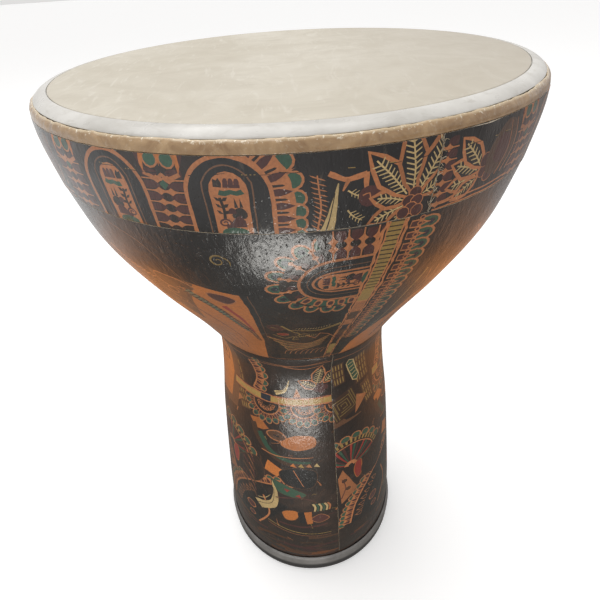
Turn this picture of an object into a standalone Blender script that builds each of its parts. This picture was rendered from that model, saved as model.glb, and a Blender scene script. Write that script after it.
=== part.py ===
"""A goblet drum (darbuka) with a bonded film head, as the pieces that it is put together from.

Metres, +Z up. The drum stands on its foot at z = 0 and its axis is the Z axis. The seams of the
printed wraps are placed by azimuth: 0 degrees is the -Y side and azimuth grows towards +X.

Every round piece is a closed section turned about Z by a Screw modifier. All sections are turned
in the same number of steps, so neighbours that follow each other keep an even gap all the way round.
"""
import math

import bpy

# ---------------------------------------------------------------- driving dimensions
HEIGHT = 0.4064            # foot to playing face, 16 inches
HEAD_FLAT_RADIUS = 0.1150  # flat of the playing face, 9 inches across
SHOULDER_RADIUS = 0.0090   # round-over from the playing face into the wall of the bowl
SEGMENTS = 40              # steps of every turned piece
GAP = 0.0003               # clearance between pieces that touch
MIN_STEP = 0.0060          # least height between a corner of a bore and the next point of its curve

FILM_THICKNESS = 0.0005
COLLAR_THICKNESS = 0.0012
COLLAR_LEDGE = 0.0024      # width of the ledge that the film's edge is bonded to
COLLAR_BARE_ANGLE = 44.0   # degrees on the round-over: the collar shows above, the glue below
GLUE_THICKNESS = 0.0009

WRAP_THICKNESS = 0.0009
WRAP_TOP = 0.3992          # cut edge of the rim wrap, just below the glue
RIM_WRAP_BOTTOM = 0.3706
SEAM_WIDTH = 0.0005        # slit left where the two ends of a wrap meet
SEAM_REACH = 0.0600        # how far the blade that cuts a slit reaches across the radius
STEM_SEAM_AZIMUTH = 17.0
RIM_SEAM_AZIMUTH = 23.5
BOWL_SEAM_AZIMUTH = 197.0

BOWL_WALL = 0.0060
STEM_WALL = 0.0050
NECK_HEIGHT = 0.2520       # sharp crease where the bowl shell stands on the stem shell
NECK_BORE = 0.0536         # radius of the socket that the coupling sleeve is glued into
SLEEVE_WALL = 0.0030
SLEEVE_BOTTOM = 0.2230
SLEEVE_TOP = 0.2617

COLLAR_SKIRT = 0.0038      # straight part of the collar below the round-over
BEARING_RING_BORE = 0.1126
BEARING_RING_BOTTOM = 0.3850
BOWL_MOUTH_BORE = 0.1176   # rebate in the bowl's mouth that the bearing ring sits in

SHELL_DEPTH = WRAP_THICKNESS + GAP   # how far the shells lie below the outer skin

FOOT_RING_HEIGHT = 0.0200
FOOT_RING_RADIUS = 0.0793
FOOT_RING_WEB = 0.0032     # rubber under the edge of the stem
FOOT_RING_LEG = 0.0025     # rubber inside the stem
FOOT_RING_ROUND = 0.0012

# Outer skin as (height, radius), from the foot to the neck and from the neck to the rim.
STEM_OUTLINE = ((0.0036, 0.0766), (0.0400, 0.0763), (0.1020, 0.0720), (0.1630, 0.0667),
                (0.2030, 0.0618), (0.2340, 0.0598), (0.2517, 0.0634))
BOWL_OUTLINE = ((0.2523, 0.0640), (0.2760, 0.0770), (0.3090, 0.0971), (0.3410, 0.1133),
                (0.3703, 0.1214))
RIM_OUTLINE = ((RIM_WRAP_BOTTOM, 0.1215), (0.3840, 0.1235), (0.3920, 0.1243), (WRAP_TOP, 0.1243))


# ---------------------------------------------------------------- outlines
def smooth_outline(points, steps=2):
    """(radius, height) pairs on a smooth curve through (height, radius) points, bottom to top."""
    def tangent(i):
        before, after = points[max(i - 1, 0)], points[min(i + 1, len(points) - 1)]
        return (after[1] - before[1]) / (after[0] - before[0])

    curve = []
    for i in range(len(points) - 1):
        (z0, r0), (z1, r1) = points[i], points[i + 1]
        span = z1 - z0
        for step in range(steps):
            t = step / steps
            radius = ((2 * t**3 - 3 * t**2 + 1) * r0 + (t**3 - 2 * t**2 + t) * span * tangent(i)
                      + (3 * t**2 - 2 * t**3) * r1 + (t**3 - t**2) * span * tangent(i + 1))
            curve.append((radius, z0 + t * span))
    curve.append((points[-1][1], points[-1][0]))
    return curve


def inset(curve, depth):
    """The same curve moved towards the axis by depth, square to itself."""
    moved = []
    for i, (radius, height) in enumerate(curve):
        low, high = curve[max(i - 1, 0)], curve[min(i + 1, len(curve) - 1)]
        along_r, along_z = high[0] - low[0], high[1] - low[1]
        length = math.hypot(along_r, along_z)
        moved.append((radius - depth * along_z / length, height + depth * along_r / length))
    return moved


def level_ends(curve, bottom, top):
    """Put a curve's ends at the two heights, so that a section closes with flat edges."""
    kept = [p for p in curve[1:-1] if bottom + GAP < p[1] < top - GAP]
    return [(curve[0][0], bottom)] + kept + [(curve[-1][0], top)]


def arc(centre, radius, start, end, steps):
    """(radius, height) pairs round a centre, angles in degrees from the outward direction."""
    points = []
    for step in range(steps + 1):
        angle = math.radians(start + (end - start) * step / steps)
        points.append((centre[0] + radius * math.cos(angle), centre[1] + radius * math.sin(angle)))
    return points


def band(outer, inner):
    """Closed section from an outer and an inner curve, both given bottom to top."""
    return outer[::-1] + inner


# ---------------------------------------------------------------- building blocks
def new_collection(name):
    collection = bpy.data.collections.new(name)
    bpy.context.scene.collection.children.link(collection)
    return collection


def new_material(name, colour, roughness, metallic=0.0):
    material = bpy.data.materials.new(name)
    material.use_nodes = True
    shader = material.node_tree.nodes["Principled BSDF"]
    shader.inputs["Base Color"].default_value = (*colour, 1.0)
    shader.inputs["Roughness"].default_value = roughness
    shader.inputs["Metallic"].default_value = metallic
    material.diffuse_color = (*colour, 1.0)
    return material


def turned(name, section, material, collection, parent):
    """One closed section, outer side first and top to bottom, turned about the Z axis."""
    count = len(section)
    mesh = bpy.data.meshes.new(name)
    mesh.from_pydata([(radius, 0.0, height) for radius, height in section],
                     [(i, (i + 1) % count) for i in range(count)], [])
    mesh.materials.append(material)
    piece = bpy.data.objects.new(name, mesh)
    collection.objects.link(piece)
    piece.parent = parent
    screw = piece.modifiers.new("turn", "SCREW")
    screw.axis = "Z"
    screw.angle = math.tau
    screw.steps = SEGMENTS
    screw.render_steps = SEGMENTS
    screw.use_merge_vertices = True
    screw.merge_threshold = 0.00001
    screw.use_smooth_shade = True
    return piece


def cut_seam(piece, azimuth, radius, bottom, top, cutters):
    """Slit a turned wrap from edge to edge with a thin upright blade at an azimuth."""
    turn = math.radians(azimuth)
    bpy.ops.mesh.primitive_cube_add(size=1.0)
    blade = bpy.context.object
    blade.name = piece.name + "_seam_blade"
    blade.scale = (SEAM_WIDTH, SEAM_REACH, top - bottom)
    blade.location = (radius * math.sin(turn), -radius * math.cos(turn), (bottom + top) / 2)
    blade.rotation_euler = (0.0, 0.0, turn)
    for owner in list(blade.users_collection):
        owner.objects.unlink(blade)
    cutters.objects.link(blade)
    blade.hide_render = True
    blade.display_type = "WIRE"
    boolean = piece.modifiers.new("seam", "BOOLEAN")
    boolean.operation = "DIFFERENCE"
    boolean.solver = "EXACT"
    boolean.object = blade


# ---------------------------------------------------------------- head
def shoulder_centre():
    return (HEAD_FLAT_RADIUS + GAP, HEIGHT - SHOULDER_RADIUS)


def glue_bed_radius():
    """Radius of the round-over under the glue, where the collar is stepped in."""
    return SHOULDER_RADIUS - GLUE_THICKNESS - GAP


def make_film(material, collection, parent):
    """Flat disc of film, its top the playing face and its edge on the ledge of the collar."""
    bpy.ops.mesh.primitive_cylinder_add(vertices=SEGMENTS, radius=HEAD_FLAT_RADIUS, depth=FILM_THICKNESS)
    film = bpy.context.object
    film.name = "drumhead_film"
    film.location = (0.0, 0.0, HEIGHT - FILM_THICKNESS / 2)
    film.data.materials.append(material)
    film.data.shade_smooth()
    film.data.set_sharp_from_angle(angle=math.radians(30))
    for owner in list(film.users_collection):
        owner.objects.unlink(film)
    collection.objects.link(film)
    film.parent = parent


def make_collar(material, collection, parent):
    """Hoop round the film: bare round-over above, step and straight skirt under the glue and wrap."""
    centre = shoulder_centre()
    bed = glue_bed_radius()
    inside = bed - COLLAR_THICKNESS
    skirt_bottom = centre[1] - COLLAR_SKIRT
    ledge_top = HEIGHT - FILM_THICKNESS - GAP
    ledge_radius = HEAD_FLAT_RADIUS - COLLAR_LEDGE
    outer = arc(centre, SHOULDER_RADIUS, 90.0, COLLAR_BARE_ANGLE, 3)
    outer += arc(centre, bed, COLLAR_BARE_ANGLE, 0.0, 2)
    outer.append((centre[0] + bed, skirt_bottom))
    inner = [(centre[0] + inside, skirt_bottom)]
    inner += arc(centre, inside, 0.0, 90.0, 3)
    inner.append((ledge_radius, centre[1] + inside))
    inner.append((ledge_radius, ledge_top))
    inner.append((centre[0], ledge_top))
    turned("head_collar", outer + inner, material, collection, parent)


def make_glue_band(material, collection, parent):
    """Adhesive that fills the lower half of the round-over, down to the cut edge of the wrap."""
    centre = shoulder_centre()
    bottom_angle = math.degrees(math.asin((WRAP_TOP + GAP - centre[1]) / SHOULDER_RADIUS))
    top_angle = COLLAR_BARE_ANGLE - 2.0
    outer = arc(centre, SHOULDER_RADIUS, top_angle, bottom_angle, 2)
    inner = arc(centre, SHOULDER_RADIUS - GLUE_THICKNESS, bottom_angle + 1.5, top_angle, 2)
    turned("head_glue_band", outer + inner, material, collection, parent)


def make_bearing_ring(material, collection, parent):
    """Hoop that stiffens the mouth of the bowl and carries the collar on its rounded edge."""
    centre = shoulder_centre()
    rounding = glue_bed_radius() - COLLAR_THICKNESS - GAP
    seat = centre[1] - COLLAR_SKIRT - GAP
    tongue = BOWL_MOUTH_BORE - GAP
    outer = [(BEARING_RING_BORE, centre[1] + rounding)]
    outer += arc(centre, rounding, 90.0, 0.0, 3)
    outer += [(centre[0] + rounding, seat), (tongue, seat), (tongue, BEARING_RING_BOTTOM)]
    inner = [(BEARING_RING_BORE, BEARING_RING_BOTTOM)]
    turned("bearing_ring", outer + inner, material, collection, parent)


# ---------------------------------------------------------------- shells
def make_bowl_shell(material, collection, parent):
    """Moulded bowl, open at the mouth, with a thick neck that is bored for the sleeve."""
    bottom = NECK_HEIGHT + GAP / 2
    top = shoulder_centre()[1] - COLLAR_SKIRT - 2 * GAP
    skin = smooth_outline(BOWL_OUTLINE) + smooth_outline(RIM_OUTLINE)[1:-1]
    outer = level_ends(inset(skin, SHELL_DEPTH), bottom, top)
    deep = inset(skin, SHELL_DEPTH + BOWL_WALL)
    rebate = BEARING_RING_BOTTOM - GAP
    inner = [(NECK_BORE, bottom), (NECK_BORE, SLEEVE_TOP + GAP)]
    inner += [p for p in deep[2:] if p[1] < rebate - MIN_STEP]
    inner += [(BOWL_MOUTH_BORE, rebate), (BOWL_MOUTH_BORE, top)]
    turned("bowl_shell", band(outer, inner), material, collection, parent)


def make_stem_shell(material, collection, parent):
    """Moulded stem from the foot ring up to the neck, its top bored for the sleeve."""
    bottom = FOOT_RING_WEB + GAP
    top = NECK_HEIGHT - GAP / 2
    skin = smooth_outline(STEM_OUTLINE)
    outer = level_ends(inset(skin, SHELL_DEPTH), bottom, top)
    deep = inset(skin, SHELL_DEPTH + STEM_WALL)
    inner = [(deep[0][0], bottom)]
    inner += [p for p in deep[1:] if p[1] < SLEEVE_BOTTOM - MIN_STEP]
    inner += [(NECK_BORE, SLEEVE_BOTTOM - GAP), (NECK_BORE, top)]
    turned("stem_shell", band(outer, inner), material, collection, parent)


def make_neck_sleeve(material, collection, parent):
    """Short tube glued inside the neck, half in the stem shell and half in the bowl shell."""
    outside = NECK_BORE - GAP
    inside = outside - SLEEVE_WALL
    section = [(outside, SLEEVE_TOP), (outside, SLEEVE_BOTTOM), (inside, SLEEVE_BOTTOM), (inside, SLEEVE_TOP)]
    turned("neck_sleeve", section, material, collection, parent)


# ---------------------------------------------------------------- wraps
def make_wrap(name, outline, seam_azimuth, material, collection, cutters, parent):
    """Printed sheet bonded round a shell, with a slit where its two ends meet."""
    skin = smooth_outline(outline)
    bottom, top = outline[0][0], outline[-1][0]
    outer = level_ends(skin, bottom, top)
    inner = level_ends(inset(skin, WRAP_THICKNESS), bottom, top)
    wrap = turned(name, band(outer, inner), material, collection, parent)
    middle = (outline[0][1] + outline[-1][1]) / 2
    overrun = 0.010
    cut_seam(wrap, seam_azimuth, middle, bottom - overrun, top + overrun, cutters)


# ---------------------------------------------------------------- foot
def make_foot_ring(material, collection, parent):
    """Rubber channel pushed over the lower edge of the stem and its wrap."""
    stem_outside = STEM_OUTLINE[0][1] + GAP
    stem_inside = STEM_OUTLINE[0][1] - SHELL_DEPTH - STEM_WALL - GAP
    bore = stem_inside - FOOT_RING_LEG
    edge = FOOT_RING_ROUND
    outer = [(stem_outside, FOOT_RING_HEIGHT),
             (FOOT_RING_RADIUS - 2 * edge, FOOT_RING_HEIGHT),
             (FOOT_RING_RADIUS - edge / 2, FOOT_RING_HEIGHT - edge),
             (FOOT_RING_RADIUS, FOOT_RING_HEIGHT - 3 * edge),
             (FOOT_RING_RADIUS, edge),
             (FOOT_RING_RADIUS - edge, 0.0)]
    inner = [(bore + edge, 0.0), (bore, edge), (bore, FOOT_RING_HEIGHT), (stem_inside, FOOT_RING_HEIGHT),
             (stem_inside, FOOT_RING_WEB), (stem_outside, FOOT_RING_WEB)]
    turned("foot_ring", outer + inner, material, collection, parent)


# ---------------------------------------------------------------- assembly
def main():
    for old in list(bpy.data.objects):
        bpy.data.objects.remove(old, do_unlink=True)
    drum = new_collection("darbuka")
    cutters = new_collection("cutters")
    root = bpy.data.objects.new("drum_axis", None)
    drum.objects.link(root)

    make_film(new_material("ivory_film", (0.67, 0.61, 0.50), 0.45), drum, root)
    make_collar(new_material("white_collar", (0.62, 0.61, 0.57), 0.35), drum, root)
    make_glue_band(new_material("amber_adhesive", (0.40, 0.24, 0.09), 0.30), drum, root)
    make_bearing_ring(new_material("pale_hoop", (0.45, 0.33, 0.20), 0.60), drum, root)
    make_bowl_shell(new_material("bowl_fibreboard", (0.26, 0.18, 0.11), 0.75), drum, root)
    make_neck_sleeve(new_material("sleeve_fibreboard", (0.32, 0.22, 0.13), 0.75), drum, root)
    make_stem_shell(new_material("stem_fibreboard", (0.26, 0.18, 0.11), 0.75), drum, root)
    make_wrap("rim_wrap", RIM_OUTLINE, RIM_SEAM_AZIMUTH,
              new_material("rim_print", (0.09, 0.05, 0.04), 0.35), drum, cutters, root)
    make_wrap("bowl_wrap", BOWL_OUTLINE, BOWL_SEAM_AZIMUTH,
              new_material("bowl_print", (0.06, 0.04, 0.035), 0.35), drum, cutters, root)
    make_wrap("stem_wrap", STEM_OUTLINE, STEM_SEAM_AZIMUTH,
              new_material("stem_print", (0.08, 0.045, 0.035), 0.35), drum, cutters, root)
    make_foot_ring(new_material("black_rubber", (0.03, 0.03, 0.032), 0.55), drum, root)
    bpy.context.view_layer.update()


main()
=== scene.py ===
# %% [markdown]
# # A goblet drum, dressed
#
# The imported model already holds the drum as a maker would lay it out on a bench: a film head in a
# collar, a bead of glue, a bearing ring, a bowl and a stem that meet at the neck on a sleeve, three
# printed wraps and a rubber foot ring. This lesson gives each of those pieces its finished surface.
# It starts by loading the model and keeping its box, because nothing below may outgrow it.

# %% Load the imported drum
import math
import random

import bpy
from mathutils import Matrix, Vector, noise
from mathutils.geometry import delaunay_2d_cdt


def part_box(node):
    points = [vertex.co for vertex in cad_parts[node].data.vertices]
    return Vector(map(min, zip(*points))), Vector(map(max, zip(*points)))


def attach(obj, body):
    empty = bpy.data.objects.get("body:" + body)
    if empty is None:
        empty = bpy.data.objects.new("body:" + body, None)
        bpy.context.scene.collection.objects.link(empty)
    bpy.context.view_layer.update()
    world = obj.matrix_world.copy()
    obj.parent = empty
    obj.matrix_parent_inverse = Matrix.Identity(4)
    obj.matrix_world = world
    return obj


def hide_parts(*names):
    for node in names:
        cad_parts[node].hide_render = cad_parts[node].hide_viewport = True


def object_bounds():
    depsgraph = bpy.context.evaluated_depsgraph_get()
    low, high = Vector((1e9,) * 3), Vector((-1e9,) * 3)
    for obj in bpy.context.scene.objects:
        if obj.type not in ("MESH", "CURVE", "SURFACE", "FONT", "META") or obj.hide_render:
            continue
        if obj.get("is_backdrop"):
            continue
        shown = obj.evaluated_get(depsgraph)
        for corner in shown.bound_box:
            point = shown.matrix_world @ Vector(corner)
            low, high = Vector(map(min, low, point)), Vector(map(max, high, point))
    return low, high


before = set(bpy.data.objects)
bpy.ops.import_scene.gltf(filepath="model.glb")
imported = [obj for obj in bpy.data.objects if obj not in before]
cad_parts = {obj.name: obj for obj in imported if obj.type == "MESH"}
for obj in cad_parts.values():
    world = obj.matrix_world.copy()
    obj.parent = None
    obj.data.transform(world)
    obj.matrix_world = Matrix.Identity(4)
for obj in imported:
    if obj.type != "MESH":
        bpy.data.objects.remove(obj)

cad_low, cad_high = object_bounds()
HEIGHT = cad_high.z
MM = 0.001
print("pieces in the packed drum:", sorted(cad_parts))
print("height", round(HEIGHT / MM, 1), "mm")

# %% [markdown]
# ## Making things
#
# Every piece of the drum starts as a mesh made from points, and is linked into the scene as an object
# that stays at the origin. Blender asks for the same lines each time, so they are written once.

# %% New meshes and objects


def new_mesh(name, points, edges=(), faces=()):
    mesh = bpy.data.meshes.new(name)
    mesh.from_pydata(points, edges, faces)
    return mesh


def new_object(name, data):
    made = bpy.data.objects.new(name, data)
    bpy.context.scene.collection.objects.link(made)
    return made


def line_edges(count):
    """The edges of an open line of points."""
    return [(i, i + 1) for i in range(count - 1)]


# %% [markdown]
# ## Camera
#
# The drum is seen from just above and in front, as someone who leans over it would see it, so the
# playing face is a wide ellipse and the stem shrinks towards the foot. A camera could be aimed with a
# Track To constraint, but building its axes from three angles keeps the small roll of a hand-held
# shot, and leaves nothing live in the scene.

# %% Camera
CAMERA_BACK = 0.641 * HEIGHT
CAMERA_UP = 1.098 * HEIGHT
CAMERA_YAW = math.radians(-1.08)
CAMERA_PITCH = math.radians(36.93)
CAMERA_ROLL = math.radians(3.89)
CAMERA_SHIFT = 0.0118
LENS = 27.04


def add_camera():
    level = Vector((math.sin(CAMERA_YAW), math.cos(CAMERA_YAW), 0)) * math.cos(CAMERA_PITCH)
    forward = level - Vector((0, 0, math.sin(CAMERA_PITCH)))
    right = forward.cross(Vector((0, 0, 1))).normalized()
    up = right.cross(forward)
    tilt = Matrix.Rotation(CAMERA_ROLL, 3, forward)
    axes = Matrix((tilt @ right, tilt @ up, -forward)).transposed()
    data = bpy.data.cameras.new("camera")
    data.lens = LENS
    data.shift_x = CAMERA_SHIFT
    data.clip_start = 0.01
    camera = new_object("camera", data)
    camera.matrix_world = Matrix.Translation((0, -CAMERA_BACK, CAMERA_UP)) @ axes.to_4x4()
    bpy.context.scene.camera = camera
    return camera


camera = add_camera()
print("camera at", [round(c, 3) for c in camera.matrix_world.translation])

# %% [markdown]
# ## Materials
#
# Every finish here is a Principled shader fed by a few noise textures. Writing the nodes and links out
# one by one hides what a material is made of, so a small class does it: one method makes a node and
# fills its sockets, and each of the others names one thing that a finish needs, such as a noise on the
# object's own coordinates or a blend of two colours.

# %% Material helpers


class Finish:
    """A Principled material and the few nodes that a finish needs."""

    def __init__(self, name, roughness, **sockets):
        self.material = bpy.data.materials.new(name)
        self.material.use_nodes = True
        self.tree = self.material.node_tree
        self.shader = self.tree.nodes["Principled BSDF"]
        self.place = self.tree.nodes.new("ShaderNodeTexCoord").outputs["Object"]
        self.put(self.shader, "Roughness", roughness)
        for socket, value in sockets.items():
            self.put(self.shader, socket.replace("_", " "), value)

    def put(self, node, socket, value):
        """Link an output to a socket, or set the socket's own value."""
        if isinstance(value, bpy.types.NodeSocket):
            self.tree.links.new(value, node.inputs[socket])
        elif isinstance(value, tuple) and len(value) == 3 and node.inputs[socket].type == "RGBA":
            node.inputs[socket].default_value = (*value, 1.0)
        else:
            node.inputs[socket].default_value = value

    def set(self, socket, value):
        self.put(self.shader, socket, value)

    def node(self, kind, sockets, **settings):
        """A new node with its settings made and its sockets filled."""
        node = self.tree.nodes.new("ShaderNode" + kind)
        for key, value in settings.items():
            setattr(node, key, value)
        for socket, value in sockets.items():
            self.put(node, socket, value)
        return node

    def stretched(self, scale, turn=(0.0, 0.0, 0.0), source=None):
        """Coordinates scaled per axis, for grain and brush marks that run one way."""
        sockets = {"Scale": scale, "Rotation": turn, "Vector": source or self.place}
        return self.node("Mapping", sockets).outputs["Vector"]

    def noise(self, scale, detail=3.0, roughness=0.55, vector=None, distortion=0.0):
        sockets = {"Scale": scale, "Detail": detail, "Roughness": roughness, "Distortion": distortion,
                   "Vector": vector or self.place}
        return self.node("TexNoise", sockets).outputs["Fac"]

    def cells(self, scale):
        """Distance to the nearest of many scattered points, for pits."""
        return self.node("TexVoronoi", {"Scale": scale, "Vector": self.place}).outputs["Distance"]

    def ramp(self, value, low, high, out_low=0.0, out_high=1.0):
        """Bring a range of values to a new range, and clamp it."""
        sockets = {"Value": value, "From Min": low, "From Max": high, "To Min": out_low, "To Max": out_high}
        return self.node("MapRange", sockets).outputs["Result"]

    def length_of(self, vector):
        return self.node("VectorMath", {0: vector}, operation="LENGTH").outputs["Value"]

    def along(self, axis):
        """One coordinate of the object, in metres."""
        return self.node("SeparateXYZ", {0: self.place}).outputs[axis]

    def maths(self, operation, first, second):
        return self.node("Math", {0: first, 1: second}, operation=operation).outputs[0]

    def blend(self, share, first, second):
        """Colour blend: share 0 gives the first colour and share 1 the second."""
        return self.node("Mix", {0: share, 6: first, 7: second}, data_type="RGBA").outputs[2]

    def bump(self, height, depth, below=None):
        """Surface relief, depth in metres. below is a normal that this one is laid over."""
        sockets = {"Distance": depth, "Height": height}
        if below:
            sockets["Normal"] = below
        return self.node("Bump", sockets).outputs["Normal"]

    def attribute(self, name, output):
        """What the mesh itself carries under a name."""
        return self.node("Attribute", {}, attribute_name=name).outputs[output]


print("material helpers ready")

# %% [markdown]
# ## Floor and light
#
# A pale floor and broad soft lamps are a small photo studio. The drum is varnished, so what matters is what
# it mirrors. A white floor would grey every edge that looks down, so the drum is kept from seeing it: a warm
# brown card lies just under the floor, where only the drum's own light rays find it. The card is not lit but
# glows by itself, a hidden lamp that stands in for a lit wooden table top. A low panel in front gives the
# wide sheen on the bowl and the stem.

# %% Floor and lights
FLOOR_SIZE = 24.0
CARD_DROP = 0.002
FLOOR_GLOW = 0.255
CARD_FRONT = (0.19, 0.178, 0.160)
CARD_SIDE = (0.90, 0.38, 0.15)
CARD_FAR_LEFT = (0.93, 0.92, 0.91)
CARD_FAR_RIGHT = (0.42, 0.38, 0.36)


def add_plane(name, size, height, finish):
    half = size / 2
    corners = [(-half, -half, height), (half, -half, height), (half, half, height), (-half, half, height)]
    mesh = new_mesh(name, corners, faces=[(0, 1, 2, 3)])
    mesh.materials.append(finish.material)
    plane = new_object(name, mesh)
    plane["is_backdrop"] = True
    return plane


def add_floor():
    finish = Finish("pale_floor", 0.9, Specular_IOR_Level=0.1, Base_Color=(0.93, 0.93, 0.93),
                    Emission_Color=(1.0, 1.0, 1.0), Emission_Strength=FLOOR_GLOW)
    floor = add_plane("studio_floor", FLOOR_SIZE, 0.0, finish)
    floor.visible_glossy = False
    floor.visible_diffuse = False


def add_card():
    """A glowing card that only the drum sees: warm at the drum's sides, darker in front of it, and pale far
    away.
    """
    finish = Finish("brown_card", 1.0, Specular_IOR_Level=0.0, Base_Color=(0, 0, 0), Emission_Strength=1.0)
    spread = finish.length_of(finish.place)
    sideways = finish.length_of(finish.stretched((1, 0.15, 0)))
    warm = finish.maths("MULTIPLY", finish.ramp(sideways, 0.15, 0.30), finish.ramp(spread, 0.17, 0.27))
    warm = finish.maths("MULTIPLY", warm, finish.ramp(finish.along("Y"), -0.16, 0.06))
    near = finish.blend(warm, CARD_FRONT, CARD_SIDE)
    far = finish.blend(finish.ramp(finish.along("X"), -0.8, 0.8), CARD_FAR_LEFT, CARD_FAR_RIGHT)
    finish.set("Emission Color", finish.blend(finish.ramp(spread, 0.37, 0.72), near, far))
    card = add_plane("brown_card", FLOOR_SIZE, -CARD_DROP, finish)
    card.visible_camera = False
    card.visible_shadow = False


def add_panel(name, place, aim, width, height, watts, colour=(1, 1, 1)):
    lamp = bpy.data.lights.new(name, "AREA")
    lamp.shape = "RECTANGLE"
    lamp.size, lamp.size_y = width, height
    lamp.energy = watts
    lamp.color = colour
    panel = new_object(name, lamp)
    panel.location = place
    panel.rotation_euler = (Vector(aim) - Vector(place)).to_track_quat("-Z", "Y").to_euler()
    panel.visible_camera = False


def add_sky(colour, strength):
    world = bpy.data.worlds.new("studio_sky")
    world.use_nodes = True
    background = world.node_tree.nodes["Background"]
    background.inputs["Color"].default_value = (*colour, 1.0)
    background.inputs["Strength"].default_value = strength
    bpy.context.scene.world = world


add_floor()
add_card()
add_sky((1.0, 0.99, 0.98), 0.75)
add_panel("overhead_panel", (-0.35, 0.35, 1.9), (0, 0, 0.3), 1.5, 1.5, 18)
add_panel("front_low_panel", (-0.03, -0.31, 0.01), (0, -0.08, 0.25), 0.22, 0.12, 0.75, (1.0, 0.98, 0.93))
bpy.context.scene.view_settings.view_transform = "Standard"
print("floor, card and two lamps")

# %% [markdown]
# ## The skin's outline
#
# The bowl and the stem are turned shapes, so one curve of radius against height says where every
# printed wrap lies. It is a smooth curve through a few heights that a maker would measure with
# callipers. The same curve moved inwards gives the shells below the wraps, and its length is what a
# flat sheet has to cover, so the arc length is worked out here too.

# %% Outline of the drum's skin
STEM_OUTLINE = ((3.6, 76.6), (40.0, 76.3), (102.0, 72.0), (163.0, 66.7), (203.0, 61.8), (234.0, 59.8),
                (251.7, 63.4))
BOWL_OUTLINE = ((252.3, 64.0), (276.0, 77.0), (309.0, 97.1), (341.0, 113.3), (370.3, 121.4))
RIM_OUTLINE = ((370.6, 121.5), (384.0, 123.5), (392.0, 124.3), (399.2, 124.3))


def smooth_outline(points, step):
    """Vectors (radius, height) on a smooth curve through (height, radius) points, bottom to top."""
    def slope(i):
        before, after = points[max(i - 1, 0)], points[min(i + 1, len(points) - 1)]
        return (after[1] - before[1]) / (after[0] - before[0])

    curve = []
    for i in range(len(points) - 1):
        (z0, r0), (z1, r1) = points[i], points[i + 1]
        span = z1 - z0
        count = max(1, round(span / step))
        for k in range(count):
            t = k / count
            radius = ((2 * t**3 - 3 * t**2 + 1) * r0 + (t**3 - 2 * t**2 + t) * span * slope(i)
                      + (3 * t**2 - 2 * t**3) * r1 + (t**3 - t**2) * span * slope(i + 1))
            curve.append(Vector((radius, z0 + t * span)))
    curve.append(Vector((points[-1][1], points[-1][0])))
    return curve


def inset(curve, depth):
    """The curve moved towards the axis by depth, square to itself."""
    moved = []
    for i, point in enumerate(curve):
        along = (curve[min(i + 1, len(curve) - 1)] - curve[max(i - 1, 0)]).normalized()
        moved.append(point + Vector((-along.y, along.x)) * depth)
    return moved


def arc(centre, radius, start, end, steps):
    """Points round a centre, angles in degrees from the outward direction."""
    turn = [math.radians(start + (end - start) * k / steps) for k in range(steps + 1)]
    return [Vector((centre[0] + radius * math.cos(a), centre[1] + radius * math.sin(a))) for a in turn]


# %% [markdown]
# ## Turned pieces
#
# Collar, hoop, shells, sleeve and foot ring are turned. Revolving a section can be done with the Spin
# tool, with a curve swept round a circle, or with a Screw modifier. The Screw is used because its
# number of steps stays one number. The section's corners are rounded first, because on the bench no
# moulded edge is perfectly sharp, and a small round edge is what catches the light.

# %% Turn a section
TURN_STEPS = 192
MERGE_WITHIN = 0.005 * MM
SHARP_ABOVE = math.radians(50)
NEARLY_STRAIGHT = math.radians(160)


def rounded(section, radius, steps=3):
    """Round every corner of a closed section whose turn is sharper than about 20 degrees."""
    result = []
    count = len(section)
    for i, corner in enumerate(section):
        before, after = section[i - 1] - corner, section[(i + 1) % count] - corner
        reach = min(radius, before.length * 0.45, after.length * 0.45)
        if before.angle(after) > NEARLY_STRAIGHT or reach < 0.02:
            result.append(corner)
            continue
        start, end = corner + before.normalized() * reach, corner + after.normalized() * reach
        for k in range(steps + 1):
            t = k / steps
            result.append((1 - t)**2 * start + 2 * t * (1 - t) * corner + t**2 * end)
    return result


def plain_mesh(piece):
    """Apply everything live on a piece, so that it is left as one plain mesh at the origin."""
    bpy.context.view_layer.update()
    evaluated = piece.evaluated_get(bpy.context.evaluated_depsgraph_get())
    mesh = bpy.data.meshes.new_from_object(evaluated)
    piece.modifiers.clear()
    piece.data = mesh
    mesh.name = piece.name
    return piece


def turn(name, section, material, steps=TURN_STEPS, closed=True):
    """Turn a section (radius, height in mm; outer side first, top to bottom) about the axis.

    A section that isn't closed starts and ends on the axis.
    """
    edges = line_edges(len(section)) + ([(len(section) - 1, 0)] if closed else [])
    mesh = new_mesh(name, [(p.x * MM, 0, p.y * MM) for p in section], edges)
    mesh.materials.append(material)
    piece = new_object(name, mesh)
    screw = piece.modifiers.new("turn", "SCREW")
    screw.steps = screw.render_steps = steps
    screw.use_merge_vertices = True
    screw.merge_threshold = MERGE_WITHIN
    plain_mesh(piece)
    piece.data.set_sharp_from_angle(angle=SHARP_ABOVE)
    return piece


def place(piece, slot, *nodes):
    """Every finished piece rides on the drum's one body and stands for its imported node."""
    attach(piece, "root")
    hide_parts(*nodes)
    print(piece.name, "has", len(piece.data.polygons), "faces")


print("a turned piece has", TURN_STEPS, "steps, each", round(360 / TURN_STEPS, 2), "degrees")

# %% [markdown]
# ## Inside the drum
#
# The bowl and the stem are moulded from wood fibre and resin, and nobody sees more of them than the
# bore that opens at the foot. The material is rough, brown and mottled, with pale fibres pressed into
# it. The coupling sleeve at the neck is a wound tube, so its grain runs round. The bearing hoop under
# the head is plain wood.

# %% Fibre and wood finishes


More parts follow.
